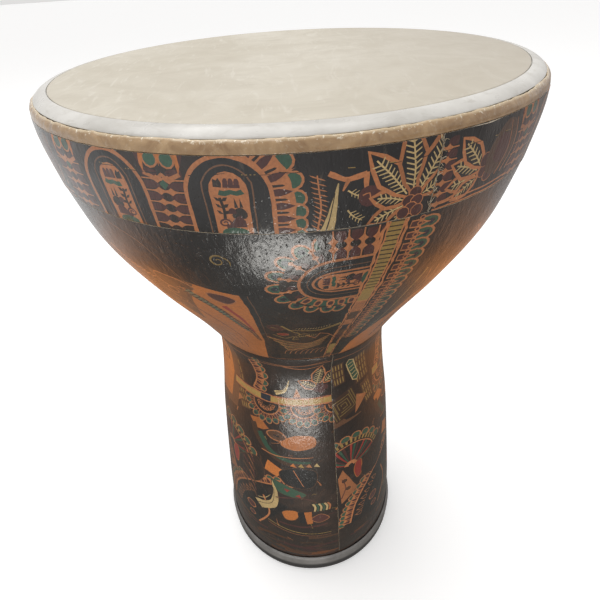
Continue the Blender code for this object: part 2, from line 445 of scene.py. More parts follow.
def fibre_finish(name, dark, light, stretch=(1, 1, 1)):
    finish = Finish(name, 0.8)
    place_on = finish.stretched(stretch)
    mottle = finish.noise(45, 6, 0.6, place_on)
    strands = finish.noise(260, 2, 0.5, finish.stretched((1, 1, 0.12), (0.5, 0.3, 0), place_on), 1.5)
    colour = finish.blend(finish.ramp(mottle, 0.35, 0.65), dark, light)
    pale = tuple(min(1.0, c * 1.7) for c in light)
    finish.set("Base Color", finish.blend(finish.ramp(strands, 0.62, 0.72, 0, 0.7), colour, pale))
    finish.set("Roughness", finish.ramp(mottle, 0.3, 0.7, 0.9, 0.65))
    finish.set("Normal", finish.bump(strands, 0.0003, finish.bump(mottle, 0.0006)))
    return finish.material


moulded = fibre_finish("moulded_fibre", (0.09, 0.055, 0.032), (0.22, 0.145, 0.085))
wound = fibre_finish("wound_tube", (0.16, 0.10, 0.06), (0.30, 0.20, 0.12), (1, 1, 9))
hoop_wood = fibre_finish("hoop_wood", (0.30, 0.19, 0.10), (0.46, 0.32, 0.19), (1, 1, 12))
print("fibre finishes:", moulded.name, wound.name, hoop_wood.name)

# %% Shells, sleeve and bearing ring
SHELL_DEPTH = 1.2
BOWL_WALL, STEM_WALL = 6.0, 5.0
NECK_BORE = 53.6
GAP = 0.3
SHOULDER = Vector((115.3, 397.4))
SHOULDER_RADIUS = 9.0
BED_RADIUS = 7.8
COLLAR_WALL = 1.2
COLLAR_SKIRT = 3.8
HOOP_BORE = 112.6


def height_range(node):
    low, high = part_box(node)
    return low.z / MM, high.z / MM


def between(curve, bottom, top):
    return [p for p in curve if bottom < p.y < top]


def below_the_wrap(skin, bottom, top):
    """A shell's outer side: the skin moved in, with its ends at the shell's own bottom and top."""
    outer = inset(skin, SHELL_DEPTH)
    ends = Vector((outer[0].x, bottom)), Vector((outer[-1].x, top))
    return [ends[0]] + between(outer, bottom + 1, top - 1) + [ends[1]]


def make_bowl_shell():
    bottom, top = height_range("bowl_shell")
    rebate = height_range("bearing_ring")[0] - GAP
    mouth_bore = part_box("bearing_ring")[1].x / MM - 4.0
    skin = smooth_outline(BOWL_OUTLINE, 4) + smooth_outline(RIM_OUTLINE, 4)[1:]
    outer = below_the_wrap(skin, bottom, top)
    bore = between(inset(skin, SHELL_DEPTH + BOWL_WALL), 281, rebate - 6)
    inner = [Vector((NECK_BORE, bottom)), Vector((NECK_BORE, 262.0))] + bore
    inner += [Vector((mouth_bore, rebate)), Vector((mouth_bore, top))]
    return turn("bowl_shell_moulding", rounded(outer[::-1] + inner, 0.5), moulded)


def make_stem_shell():
    bottom, top = height_range("stem_shell")
    sleeve_seat = height_range("neck_sleeve")[0] - GAP
    skin = smooth_outline(STEM_OUTLINE, 5)
    outer = below_the_wrap(skin, bottom, top)
    bore = inset(skin, SHELL_DEPTH + STEM_WALL)
    inner = [Vector((bore[0].x, bottom))] + between(bore[1:], bottom + 1, sleeve_seat - 4)
    inner += [Vector((NECK_BORE, sleeve_seat)), Vector((NECK_BORE, top))]
    return turn("stem_shell_moulding", rounded(outer[::-1] + inner, 0.5), moulded)


def make_sleeve():
    bottom, top = height_range("neck_sleeve")
    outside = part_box("neck_sleeve")[1].x / MM
    inside = outside - 3.0
    section = [Vector(p) for p in ((outside, top), (outside, bottom), (inside, bottom), (inside, top))]
    return turn("neck_sleeve_tube", rounded(section, 0.6), wound)


def make_bearing_hoop():
    bottom = height_range("bearing_ring")[0]
    rounding = BED_RADIUS - COLLAR_WALL - GAP
    seat = SHOULDER.y - COLLAR_SKIRT - GAP
    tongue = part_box("bearing_ring")[1].x / MM - 4.3
    section = [Vector((HOOP_BORE, SHOULDER.y + rounding))] + arc(SHOULDER, rounding, 90, 0, 10)
    corners = (SHOULDER.x + rounding, seat), (tongue, seat), (tongue, bottom), (HOOP_BORE, bottom)
    section += [Vector(p) for p in corners]
    return turn("bearing_hoop", rounded(section, 0.5), hoop_wood)


place(make_bowl_shell(), "moulded_fibreboard", "bowl_shell")
place(make_stem_shell(), "moulded_fibreboard", "stem_shell")
place(make_sleeve(), "sleeve_fibreboard", "neck_sleeve")
place(make_bearing_hoop(), "pale_hoop", "bearing_ring")

# %% [markdown]
# ## Foot ring
#
# A rubber channel is pushed over the bottom edge of the stem. Its outer wall is a little barrelled,
# its upper edge is rolled in against the wrap, and the part that meets the floor is scuffed grey.
# It is turned from one section, with scuffs mixed in. By height, its upper part turns a lighter grey: partly
# dusty rubber, partly a painted sheen where the upper wall would catch the light.

# %% Rubber foot ring


def rubber_finish():
    finish = Finish("foot_rubber", 0.5, Specular_IOR_Level=0.45)
    cloud = finish.noise(60, 5, 0.6)
    grain = finish.noise(1400, 2)
    scuff = finish.noise(300, 4, 0.7, finish.stretched((1, 1, 3)))
    base = finish.blend(finish.ramp(cloud, 0.3, 0.7), (0.020, 0.020, 0.021), (0.040, 0.040, 0.042))
    # Lighter grey for the ring's upper part, blended in by height on the next line: partly dusty rubber,
    # partly painted sheen of the upper wall.
    dust_and_sheen = finish.blend(finish.ramp(cloud, 0.3, 0.7), (0.135, 0.130, 0.126), (0.22, 0.212, 0.206))
    base = finish.blend(finish.ramp(finish.along("Z"), 0.0090, 0.0125), base, dust_and_sheen)
    finish.set("Base Color", finish.blend(finish.ramp(scuff, 0.60, 0.75, 0, 0.6), base, (0.20, 0.195, 0.19)))
    finish.set("Roughness", finish.ramp(cloud, 0.3, 0.7, 0.34, 0.52))
    finish.set("Normal", finish.bump(grain, 0.00006, finish.bump(scuff, 0.0001)))
    return finish.material


def make_foot_ring():
    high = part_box("foot_ring")[1]
    outside, top = high.x / MM, high.z / MM
    stem_outside = STEM_OUTLINE[0][1] + GAP
    stem_inside = STEM_OUTLINE[0][1] - SHELL_DEPTH - STEM_WALL - GAP
    web, leg = 3.2, 2.5
    bore = stem_inside - leg
    corners = ((stem_outside, top - 0.3), (stem_outside + 0.5, top), (outside - 1.6, top - 0.2),
               (outside - 0.5, top - 1.5), (outside, top - 4.5), (outside, top - 9.5),
               (outside - 0.35, 2.2), (outside - 1.4, 0.0), (bore + 1.2, 0.0), (bore, 1.2),
               (bore, top - 0.2), (stem_inside - 0.4, top), (stem_inside, top - 0.5),
               (stem_inside, web), (stem_outside, web))
    return turn("rubber_foot_ring", rounded([Vector(c) for c in corners], 1.3, 4), rubber_finish())


place(make_foot_ring(), "black_rubber", "foot_ring")

# %% [markdown]
# ## Head
#
# The film is a flat disc, ivory with faint fibres pressed in, and its edge is bonded to a ledge inside
# a silvery white collar. The disc is drawn as rings of quads and not as one flat face, so that the
# film can dish by a few hundredths of a millimetre and the light can roll off its edge.

# %% Film
FILM_RADIUS = 115.0
FILM_THICKNESS = 0.5


def film_finish():
    finish = Finish("ivory_film", 0.42, Specular_IOR_Level=0.45)
    cloud = finish.noise(9, 5, 0.6, distortion=0.8)
    patches = finish.noise(34, 5, 0.62, distortion=1.2)
    fibres = finish.noise(120, 3, 0.6, finish.stretched((1, 0.22, 1), (0, 0, 0.7)), 2.5)
    cross = finish.noise(150, 3, 0.6, finish.stretched((0.2, 1, 1), (0, 0, 0.3)), 2.5)
    base = finish.blend(finish.ramp(cloud, 0.35, 0.65), (0.50, 0.45, 0.355), (0.60, 0.555, 0.465))
    base = finish.blend(finish.ramp(patches, 0.40, 0.64, 0.0, 0.45), base, (0.445, 0.40, 0.32))
    base = finish.blend(finish.ramp(fibres, 0.56, 0.70, 0, 0.5), base, (0.65, 0.61, 0.53))
    base = finish.blend(finish.ramp(cross, 0.60, 0.72, 0, 0.35), base, (0.42, 0.375, 0.295))
    # Darker towards +X, the right of the head from the camera: painted shade on that side of the film.
    base = finish.blend(finish.ramp(finish.along("X"), 0.01, 0.115, 0, 0.75), base, (0.42, 0.375, 0.305))
    finish.set("Base Color", base)
    finish.set("Roughness", finish.ramp(patches, 0.3, 0.7, 0.36, 0.5))
    finish.set("Normal", finish.bump(fibres, 0.00008, finish.bump(patches, 0.00012)))
    return finish.material


def make_film():
    """A disc of rings, its rim rolled over the last half millimetre."""
    top = HEIGHT / MM
    rings = [0.0] + [FILM_RADIUS * k / 18 for k in range(1, 18)] + [FILM_RADIUS - 0.6, FILM_RADIUS - 0.2]
    section = [Vector((r, top - 0.04 * math.cos(r / FILM_RADIUS * math.pi / 2))) for r in rings]
    section += [Vector((FILM_RADIUS, top - 0.15)), Vector((FILM_RADIUS, top - FILM_THICKNESS))]
    section += [Vector((FILM_RADIUS / 2, top - FILM_THICKNESS)), Vector((0.0, top - FILM_THICKNESS))]
    return turn("playing_film", section, film_finish(), closed=False)


place(make_film(), "ivory_film", "drumhead_film")

# %% [markdown]
# ## Collar
#
# The collar is the shoulder between the flat head and the glue: a moulded hoop, whiter and shinier
# than the film, with fine scratches that run round it and a few dark nicks.

# %% Collar


def collar_finish():
    finish = Finish("white_collar", 0.3, Specular_IOR_Level=0.5, Coat_Weight=0.25, Coat_Roughness=0.2)
    cloud = finish.noise(40, 4, 0.6)
    streaks = finish.noise(420, 3, 0.6, finish.stretched((0.25, 0.25, 1.2)), 0.5)
    nicks = finish.noise(95, 6, 0.75)
    base = finish.blend(finish.ramp(cloud, 0.35, 0.65), (0.50, 0.48, 0.44), (0.66, 0.64, 0.60))
    base = finish.blend(finish.ramp(streaks, 0.55, 0.72, 0, 0.5), base, (0.42, 0.39, 0.34))
    finish.set("Base Color", finish.blend(finish.ramp(nicks, 0.70, 0.76, 0, 0.8), base, (0.16, 0.12, 0.09)))
    finish.set("Roughness", finish.ramp(streaks, 0.3, 0.7, 0.24, 0.42))
    finish.set("Normal", finish.bump(streaks, 0.00008, finish.bump(cloud, 0.0004)))
    return finish.material


def make_collar():
    inside = BED_RADIUS - COLLAR_WALL
    skirt = SHOULDER.y - COLLAR_SKIRT
    ledge_top = HEIGHT / MM - FILM_THICKNESS - GAP
    outer = arc(SHOULDER, SHOULDER_RADIUS, 90, 44, 10) + arc(SHOULDER, BED_RADIUS, 44, 0, 8)
    outer.append(Vector((SHOULDER.x + BED_RADIUS, skirt)))
    inner = [Vector((SHOULDER.x + inside, skirt))] + arc(SHOULDER, inside, 0, 90, 10)
    ledge = (HOOP_BORE, SHOULDER.y + inside), (HOOP_BORE, ledge_top), (SHOULDER.x, ledge_top)
    inner += [Vector(p) for p in ledge]
    return turn("head_collar_hoop", rounded(outer + inner, 0.25, 2), collar_finish(), 256)


place(make_collar(), "white_collar", "head_collar")

# %% [markdown]
# ## Printed wraps
#
# The ornament is printed on flat sheet, and the sheet is rolled round the shell and varnished. It
# could be painted with shader maths or laid on as hundreds of thin plates. Here it is done as on the
# bench: every shape is drawn flat, the sheet is cut along all the outlines at once, and the result is
# rolled on. The ink edges stay sharp at any distance, the surface under the varnish stays one smooth
# skin, and the piece is a closed sheet with a thickness and a seam.
#
# A flat sheet measures u along the rim and v up the skin, both in millimetres.

# %% Inks
INKS = {
    "black": (0.010, 0.010, 0.011),
    "dark": (0.020, 0.012, 0.009),
    "brown": (0.085, 0.038, 0.018),
    "copper": (0.46, 0.170, 0.062),
    "orange": (0.52, 0.165, 0.035),
    "maroon": (0.075, 0.022, 0.019),
    "red": (0.30, 0.030, 0.020),
    "green": (0.030, 0.088, 0.052),
    "pale_green": (0.22, 0.27, 0.17),
    "navy": (0.016, 0.022, 0.034),
    "cream": (0.56, 0.40, 0.18),
    "gold": (0.33, 0.21, 0.06),
    "paper": (0.72, 0.64, 0.52),
}
INK_NAMES = list(INKS)
DEGREES = 360.0
print(len(INKS), "inks")

# %% Flat sheets and the pen that draws on them


class Sheet:
    """A flat sheet that will be rolled round the drum, and the shapes printed on it in order."""

    def __init__(self, name, outline, reference_radius, seam, ground):
        self.name = name
        self.skin = smooth_outline(outline, 0.5)
        self.lengths = [0.0]
        for a, b in zip(self.skin, self.skin[1:]):
            self.lengths.append(self.lengths[-1] + (b - a).length)
        self.per_degree = math.tau * reference_radius / DEGREES
        self.seam = seam
        self.height = self.lengths[-1]
        self.width = DEGREES * self.per_degree
        self.ground = ground
        self.shapes = []
        self.random = random.Random(name)

    def up(self, height):
        """Distance up the skin to a height above the floor."""
        for i, point in enumerate(self.skin):
            if point.y >= height:
                return self.lengths[i]
        return self.lengths[-1] + height - self.skin[-1].y

    def spot(self, azimuth, height):
        return Vector((azimuth * self.per_degree, self.up(height)))

    def add(self, points, ink, tone=None, anchor=None):
        """Keep a filled shape, on the side of the seam that its anchor or its own middle is on."""
        middle = sum(p.x for p in points) / len(points) if anchor is None else anchor
        shift = math.floor((middle / self.per_degree - self.seam) / DEGREES) * self.width
        moved = [Vector((p.x - shift, p.y)) for p in points]
        if tone is None:
            tone = self.random.uniform(0.82, 1.16)
        self.shapes.append((moved, ink, tone))


CURVE_STEP = 1.35


def smooth_line(points, closed=False):
    """Points evenly along a smooth curve through a few given points."""
    points = [Vector(p) for p in points]
    count = len(points)
    if count < 3:
        parts = max(1, round((points[1] - points[0]).length / (2.5 * CURVE_STEP)))
        return [points[0].lerp(points[1], k / parts) for k in range(parts + 1)]
    result = []
    for i in range(count if closed else count - 1):
        p1, p2 = points[i], points[(i + 1) % count]
        p0 = points[i - 1] if closed or i else 2 * p1 - p2
        p3 = points[(i + 2) % count] if closed or i + 2 < count else 2 * p2 - p1
        parts = max(2, round((p2 - p1).length / CURVE_STEP))
        for k in range(parts):
            t = k / parts
            result.append(0.5 * (2 * p1 + (p2 - p0) * t + (2 * p0 - 5 * p1 + 4 * p2 - p3) * t * t
                                 + (3 * p1 - p0 - 3 * p2 + p3) * t**3))
    if not closed:
        result.append(points[-1])
    return result


def round_shape(width, height=None, points=10):
    """An ellipse about the origin."""
    height = height or width
    turns = [math.tau * k / points for k in range(points)]
    return [Vector((math.cos(turn) * width / 2, math.sin(turn) * height / 2)) for turn in turns]


PEN_WOBBLE = 0.22


class Pen:
    """Draws on a sheet in a local frame of millimetres, centred, turned and scaled on one spot.

    What one pen draws stays on its own side of the seam and is cut there, unless it goes right round.
    """

    def __init__(self, sheet, azimuth, height, turn=0.0, scale=(1.0, 1.0), right_round=False):
        self.sheet = sheet
        self.origin = sheet.spot(azimuth, height)
        self.anchor = None if right_round else self.origin.x
        self.turn = Matrix.Rotation(math.radians(turn), 2)
        self.scale = scale

    def at(self, x, y):
        return self.origin + self.turn @ Vector((x * self.scale[0], y * self.scale[1]))

    def moved(self, x, y, turn=0.0, scale=(1.0, 1.0)):
        """A second pen whose frame lies in this one."""
        pen = Pen(self.sheet, 0, 0)
        pen.anchor = self.anchor
        pen.origin = self.at(x, y)
        pen.turn = self.turn @ Matrix.Rotation(math.radians(turn), 2)
        pen.scale = (self.scale[0] * scale[0], self.scale[1] * scale[1])
        return pen

    def fill(self, points, ink, tone=None):
        self.sheet.add([self.at(x, y) for x, y in points], ink, tone, self.anchor)

    def blob(self, points, ink, rim=0.0, rim_ink="copper", smooth=True):
        """A shape with an outline: the outline is the same shape drawn a little larger first."""
        points = [Vector(p) for p in points]
        if smooth:
            points = smooth_line(points, closed=True)
        if rim:
            self.fill(widened(points, rim), rim_ink)
        self.fill(points, ink)

    def stroke(self, points, width, ink="copper", end=None, smooth=True, closed=False, tone=None):
        """A line of one width, or tapering to end, as a run of short quads."""
        line = smooth_line(points, closed) if smooth else [Vector(p) for p in points]
        if closed:
            line.append(line[0])
        end = width if end is None else end
        tone = tone or self.sheet.random.uniform(0.88, 1.14)
        sides = []
        for i, point in enumerate(line):
            before = line[-2] if closed and i == 0 else line[max(i - 1, 0)]
            after = line[1] if closed and i == len(line) - 1 else line[min(i + 1, len(line) - 1)]
            along = (after - before).normalized()
            wobble = 1 + PEN_WOBBLE * noise.noise(Vector((point.x * 0.35, point.y * 0.35, width * 7)))
            half = (width + (end - width) * i / (len(line) - 1)) / 2 * wobble
            across = Vector((-along.y, along.x)) * half
            sides.append((self.at(*(point + across)), self.at(*(point - across))))
        for (left, right), (next_left, next_right) in zip(sides, sides[1:]):
            self.sheet.add([left, right, next_right, next_left], ink, tone, self.anchor)

    def row(self, motif, path, count, width, length, lift=0.0, smooth=True, between=False):
        """Copies of a motif along a path, made by the row tree below. Between puts them at the joints."""
        line = smooth_line(path) if smooth else [Vector(p) for p in path]
        for points, ink, tone in march(motif, line, count, width, length, lift, between):
            self.fill(points, ink, tone=tone)


def flat_area(outline):
    """Signed area of a closed outline, positive when it runs anticlockwise."""
    return sum(a.x * b.y - b.x * a.y for a, b in zip(outline, outline[1:] + outline[:1])) / 2


def widened(points, margin):
    """A closed outline moved outwards by a margin."""
    side = 1 if flat_area(points) > 0 else -1
    result = []
    for i, point in enumerate(points):
        along = (points[(i + 1) % len(points)] - points[i - 1]).normalized()
        result.append(point + Vector((along.y, -along.x)) * side * margin)
    return result


print("a sheet keeps filled shapes; a pen draws blobs, strokes and rows on it")

# %% [markdown]
# ## Motifs in a row
#
# Petals, scallops, rungs and beads all march along a line. That is a job for Geometry Nodes: one
# tree puts a motif on evenly spaced points of a path, turns each copy along the path, and realises
# the copies. Width, length, count and offset are the tree's named inputs, so every row in the print
# is the same tree with other numbers. Each motif is a small flat mesh whose faces carry an ink number.

# %% Row tree


def add_node(tree, kind, values=None, **settings):
    """A node with its settings made, and fixed values in some of its sockets."""
    node = tree.nodes.new(kind)
    for key, value in settings.items():
        setattr(node, key, value)
    for socket, value in (values or {}).items():
        node.inputs[socket].default_value = value
    return node


def wire(tree, *links):
    """Each link names an output of one node and an input of another."""
    for source, output, target, socket in links:
        tree.links.new(source.outputs[output], target.inputs[socket])


def new_tree(name, inputs):
    """An empty Geometry Nodes tree with a geometry input, a geometry output and named inputs."""
    tree = bpy.data.node_groups.new(name, "GeometryNodeTree")
    face = tree.interface
    face.new_socket("Geometry", in_out="INPUT", socket_type="NodeSocketGeometry")
    for label, kind in inputs:
        face.new_socket(label, in_out="INPUT", socket_type=kind)
    face.new_socket("Geometry", in_out="OUTPUT", socket_type="NodeSocketGeometry")
    return tree, add_node(tree, "NodeGroupInput"), add_node(tree, "NodeGroupOutput")


def run_tree(piece, tree, **values):
    """Put a tree on a piece, set its named inputs by socket identifier, and return the plain mesh."""
    modifier = piece.modifiers.new("tree", "NODES")
    modifier.node_group = tree
    for socket in tree.interface.items_tree:
        if socket.in_out == "INPUT" and socket.name in values:
            modifier[socket.identifier] = values[socket.name]
    plain_mesh(piece)
    return piece.data


def make_row_tree():
    tree, given, result = new_tree("row_of_motifs", (
        ("Motif", "NodeSocketObject"), ("Count", "NodeSocketInt"), ("Width", "NodeSocketFloat"),
        ("Length", "NodeSocketFloat"), ("Lift", "NodeSocketFloat"), ("Inset", "NodeSocketFloat"),
        ("Ink", "NodeSocketMaterial")))
    curve = add_node(tree, "GeometryNodeMeshToCurve")
    trim = add_node(tree, "GeometryNodeTrimCurve", mode="FACTOR")
    far_end = add_node(tree, "ShaderNodeMath", {0: 1.0}, operation="SUBTRACT")
    points = add_node(tree, "GeometryNodeCurveToPoints", mode="COUNT")
    motif = add_node(tree, "GeometryNodeObjectInfo")
    turned = add_node(tree, "FunctionNodeAlignRotationToVector", axis="X", pivot_axis="Z")
    size = add_node(tree, "ShaderNodeCombineXYZ", {"Z": 1.0})
    offset = add_node(tree, "ShaderNodeCombineXYZ")
    own_lift = add_node(tree, "ShaderNodeMath", operation="DIVIDE")
    copies = add_node(tree, "GeometryNodeInstanceOnPoints")
    lifted = add_node(tree, "GeometryNodeTranslateInstances")
    real = add_node(tree, "GeometryNodeRealizeInstances")
    inked = add_node(tree, "GeometryNodeSetMaterial")
    wire(tree, (given, "Geometry", curve, "Mesh"), (curve, "Curve", trim, "Curve"),
         (given, "Inset", trim, "Start"), (given, "Inset", far_end, 1), (far_end, 0, trim, "End"),
         (trim, "Curve", points, "Curve"), (given, "Count", points, "Count"),
         (given, "Motif", motif, "Object"), (points, "Tangent", turned, "Vector"),
         (given, "Width", size, "X"), (given, "Length", size, "Y"),
         (given, "Lift", own_lift, 0), (given, "Length", own_lift, 1), (own_lift, 0, offset, "Y"),
         (points, "Points", copies, "Points"), (motif, "Geometry", copies, "Instance"),
         (turned, "Rotation", copies, "Rotation"), (size, "Vector", copies, "Scale"),
         (copies, "Instances", lifted, "Instances"), (offset, "Vector", lifted, "Translation"),
         (lifted, "Instances", real, "Geometry"), (real, "Geometry", inked, "Geometry"),
         (given, "Ink", inked, "Material"), (inked, "Geometry", result, "Geometry"))
    return tree


ROW_TREE = make_row_tree()
MOTIFS = {}


def add_motif(name, *shapes):
    """A motif in a unit cell, x from -0.5 to 0.5 along the row and y from 0 to 1 across it."""
    points, faces = [], []
    for outline, ink in shapes:
        faces.append(list(range(len(points), len(points) + len(outline))))
        points += [(x, y, 0) for x, y in outline]
    mesh = new_mesh(name, points, faces=faces)
    numbers = mesh.attributes.new("ink_number", "INT", "FACE")
    numbers.data.foreach_set("value", [INK_NAMES.index(ink) for outline, ink in shapes])
    MOTIFS[name] = bpy.data.objects.new(name, mesh)


def march(motif, line, count, width, length, lift, between):
    """Run the row tree on a path and read back its flat shapes."""
    path = new_object("path", new_mesh("path", [(p.x, p.y, 0) for p in line], line_edges(len(line))))
    made = run_tree(path, ROW_TREE, Motif=MOTIFS[motif], Count=count + between, Width=width,
                    Length=length, Lift=lift, Inset=0.0 if between else 0.5 / count)
    numbers = made.attributes["ink_number"].data
    shapes = []
    for face in made.polygons:
        outline = [made.vertices[i].co.to_2d() for i in face.vertices]
        tone = 0.84 + 0.3 * (noise.noise(made.vertices[face.vertices[0]].co * 0.9) * 0.5 + 0.5)
        shapes.append((outline, INK_NAMES[numbers[face.index].value], tone))
    bpy.data.objects.remove(path, do_unlink=True)
    bpy.data.meshes.remove(made)
    return shapes


print("row tree has", len(ROW_TREE.nodes), "nodes")

# %% [markdown]
# ## The cutter
#
# All shapes are cut into one triangulated sheet by a constrained Delaunay triangulation. It also says
# which shapes each triangle lies in, and the last one drawn wins, as with wet paint. A loose grid of
# points keeps every triangle small enough to bend round the drum. It may also hand back slivers just
# outside the sheet's border, which would span the drum as chords, so a triangle that lies in no shape
# and not on the sheet is dropped.

# %% Cut a sheet
GRID = 3.6
GRID_JITTER = 0.2
LONGEST_SIDE = 3.8
BORDER_STEP = 2.4
MERGE_POINTS = 0.004
SMALLEST_AREA = 0.01
SLIT = 0.5
WRAP_THICKNESS = 0.9
WOBBLE = 0.32


def divided(outline):
    """The outline with points added, so that no straight side is long enough to cut into the drum."""
    result = []
    for a, b in zip(outline, outline[1:] + outline[:1]):
        parts = max(1, math.ceil((b - a).length / LONGEST_SIDE))
        result += [a.lerp(b, k / parts) for k in range(parts)]
    return result


def hand_drawn(point):
    """Nudge a point as an unsteady hand would. Neighbours move together, so shapes stay closed."""
    shift = noise.noise_vector(Vector((point.x * 0.13, point.y * 0.13, 3.7))) * WOBBLE
    return Vector((point.x + shift.x, point.y + shift.y))


def sheet_border(sheet, top_edge):
    """Corner-to-corner outline of the sheet, anticlockwise, with a slit's width taken off its ends."""
    left = sheet.seam * sheet.per_degree + SLIT / 2
    right = left + sheet.width - SLIT
    across, upward = round((right - left) / BORDER_STEP), round(sheet.height / BORDER_STEP)
    border = [Vector((left + (right - left) * k / across, 0)) for k in range(across)]
    border += [Vector((right, sheet.height * k / upward)) for k in range(upward)]
    border += [Vector((right - (right - left) * k / across, sheet.height)) for k in range(across)]
    border += [Vector((left, sheet.height * (1 - k / upward))) for k in range(upward)]
    if top_edge:
        border = [Vector((p.x, p.y + top_edge(p.x / sheet.per_degree) if p.y == sheet.height else p.y))
                  for p in border]
    return border


def inside_points(border, spacing, seed):
    """A loose grid of points within a border, each row half a step beside the last."""
    low_x, high_x = min(p.x for p in border), max(p.x for p in border)
    high_y = min(p.y for p in border if p.y > spacing * 2 and low_x + 1 < p.x < high_x - 1)
    jitter = random.Random(seed)
    points = []
    for i in range(1, int((high_x - low_x) / spacing)):
        for k in range(1, int(high_y / spacing)):
            x = low_x + i * spacing + jitter.uniform(-GRID_JITTER, GRID_JITTER) + (k % 2) * spacing / 2
            points.append(Vector((x, k * spacing + jitter.uniform(-GRID_JITTER, GRID_JITTER))))
    return [p for p in points if p.x < high_x - spacing / 3]


def cut_sheet(sheet, border):
    """Triangulate the sheet with every shape in it. Returns points, triangles and (ink, tone)s.

    An outline that crosses itself can claim the whole sheet, so a shape that covers more than its own
    area is left out.
    """
    points, faces = list(border), [list(range(len(border)))]
    inks = [(sheet.ground, 1.0)]
    for outline, ink, tone in sheet.shapes:
        area = flat_area(outline)
        if abs(area) < SMALLEST_AREA:
            continue
        start = len(points)
        points += [hand_drawn(p) for p in divided(outline if area > 0 else outline[::-1])]
        faces.append(list(range(start, len(points))))
        inks.append((ink, tone))
    points += inside_points(border, GRID, sheet.name)
    found = delaunay_2d_cdt(points, [], faces, 1, MERGE_POINTS, True)
    flat, triangles, origins = found[0], found[2], found[5]
    covered = [0.0] * len(faces)
    for triangle, origin in zip(triangles, origins):
        area = flat_area([flat[i] for i in triangle])
        for k in origin:
            covered[k] += area
    own = [abs(flat_area([points[i] for i in face])) for face in faces]
    sound = [area < 1.3 * least + 0.5 for area, least in zip(covered, own)]
    cut, colours = [], []
    for triangle, origin in zip(triangles, origins):
        if 0 in origin:
            cut.append(tuple(triangle))
            colours.append(inks[max(k for k in origin if sound[k])])
    return flat, cut, colours


def rim_loop(triangles):
    """Vertices round the outside of a set of triangles, in order, material on the left."""
    inner = {(b, a) for t in triangles for a, b in zip(t, t[1:] + t[:1])}
    follow = {a: b for t in triangles for a, b in zip(t, t[1:] + t[:1]) if (a, b) not in inner}
    start = next(iter(follow))
    loop = [start]
    while follow[loop[-1]] != start:
        loop.append(follow[loop[-1]])
    return loop


print("grid of", GRID, "mm")

# %% [markdown]
# ## Rolling a sheet on
#
# A second Geometry Nodes tree bends anything flat round the drum. It reads a point's u as an angle and its v
# as a distance along the outline curve, samples the curve there, and steps out along the curve's normal by w.
# Sheet and threads go through the same tree, so they always meet.

# %% Roll tree


def make_roll_tree():
    tree, given, result = new_tree("roll_round_the_drum", (
        ("Outline", "NodeSocketObject"), ("Degrees per mm", "NodeSocketFloat"),
        ("Finish", "NodeSocketMaterial")))
    join = tree.links.new

    def maths(operation, first, second=None):
        node = add_node(tree, "ShaderNodeMath", operation=operation)
        for socket, value in zip(node.inputs, (first, second)):
            if isinstance(value, bpy.types.NodeSocket):
                join(value, socket)
            elif value is not None:
                socket.default_value = value
        return node.outputs[0]

    place_now = add_node(tree, "GeometryNodeInputPosition")
    flat = add_node(tree, "ShaderNodeSeparateXYZ")
    outline = add_node(tree, "GeometryNodeObjectInfo")
    curve = add_node(tree, "GeometryNodeMeshToCurve")
    sample = add_node(tree, "GeometryNodeSampleCurve", mode="LENGTH")
    spot, along = add_node(tree, "ShaderNodeSeparateXYZ"), add_node(tree, "ShaderNodeSeparateXYZ")
    wire(tree, (place_now, "Position", flat, 0), (given, "Outline", outline, "Object"),
         (outline, "Geometry", curve, "Mesh"), (curve, "Curve", sample, "Curves"),
         (sample, "Position", spot, 0), (sample, "Tangent", along, 0))
    join(maths("MULTIPLY", flat.outputs["Y"], MM), sample.inputs["Length"])
    depth = maths("MULTIPLY", flat.outputs["Z"], MM)
    radius = maths("ADD", spot.outputs["X"], maths("MULTIPLY", depth, along.outputs["Z"]))
    height = maths("SUBTRACT", spot.outputs["Z"], maths("MULTIPLY", depth, along.outputs["X"]))
    angle = maths("RADIANS", maths("MULTIPLY", flat.outputs["X"], given.outputs["Degrees per mm"]))
    rolled = add_node(tree, "ShaderNodeCombineXYZ")
    join(maths("MULTIPLY", radius, maths("SINE", angle)), rolled.inputs["X"])
    join(maths("MULTIPLY", maths("MULTIPLY", radius, maths("COSINE", angle)), -1.0), rolled.inputs["Y"])
    join(height, rolled.inputs["Z"])
    bend = add_node(tree, "GeometryNodeSetPosition")
    real = add_node(tree, "GeometryNodeRealizeInstances")
    finish = add_node(tree, "GeometryNodeSetMaterial")
    wire(tree, (given, "Geometry", bend, "Geometry"), (rolled, "Vector", bend, "Position"),
         (bend, "Geometry", real, "Geometry"), (real, "Geometry", finish, "Geometry"),
         (given, "Finish", finish, "Material"), (finish, "Geometry", result, "Geometry"))
    return tree


ROLL_TREE = make_roll_tree()


def roll(piece, sheet, material):
    """Send a flat piece through the roll tree, with the sheet's outline as a line in the XZ plane."""
    points = [(p.x * MM, 0, p.y * MM) for p in sheet.skin]
    guide = bpy.data.objects.new("outline", new_mesh("outline", points, line_edges(len(points))))
    values = {"Outline": guide, "Degrees per mm": 1 / sheet.per_degree, "Finish": material}
    run_tree(piece, ROLL_TREE, **values)
    bpy.data.objects.remove(guide)


print("roll tree has", len(ROLL_TREE.nodes), "nodes")

# %% Make a wrap from a printed sheet
INNER_GRID = 7.0
EDGE_SINK = 0.22
SHARP_EDGE = math.radians(40)


def cut_back(border, loop_points):
    """Triangulate the plain back inside the same loop as the front. Also says which point is which."""
    face = list(range(len(loop_points)))
    grid = inside_points(border, INNER_GRID, "back")
    found = delaunay_2d_cdt(loop_points + grid, [], [face], 1, 0.0001, True)
    where = {source: i for i, sources in enumerate(found[3]) for source in sources}
    inside = [triangle for triangle, origin in zip(found[2], found[5]) if origin]
    return found[0], inside, where


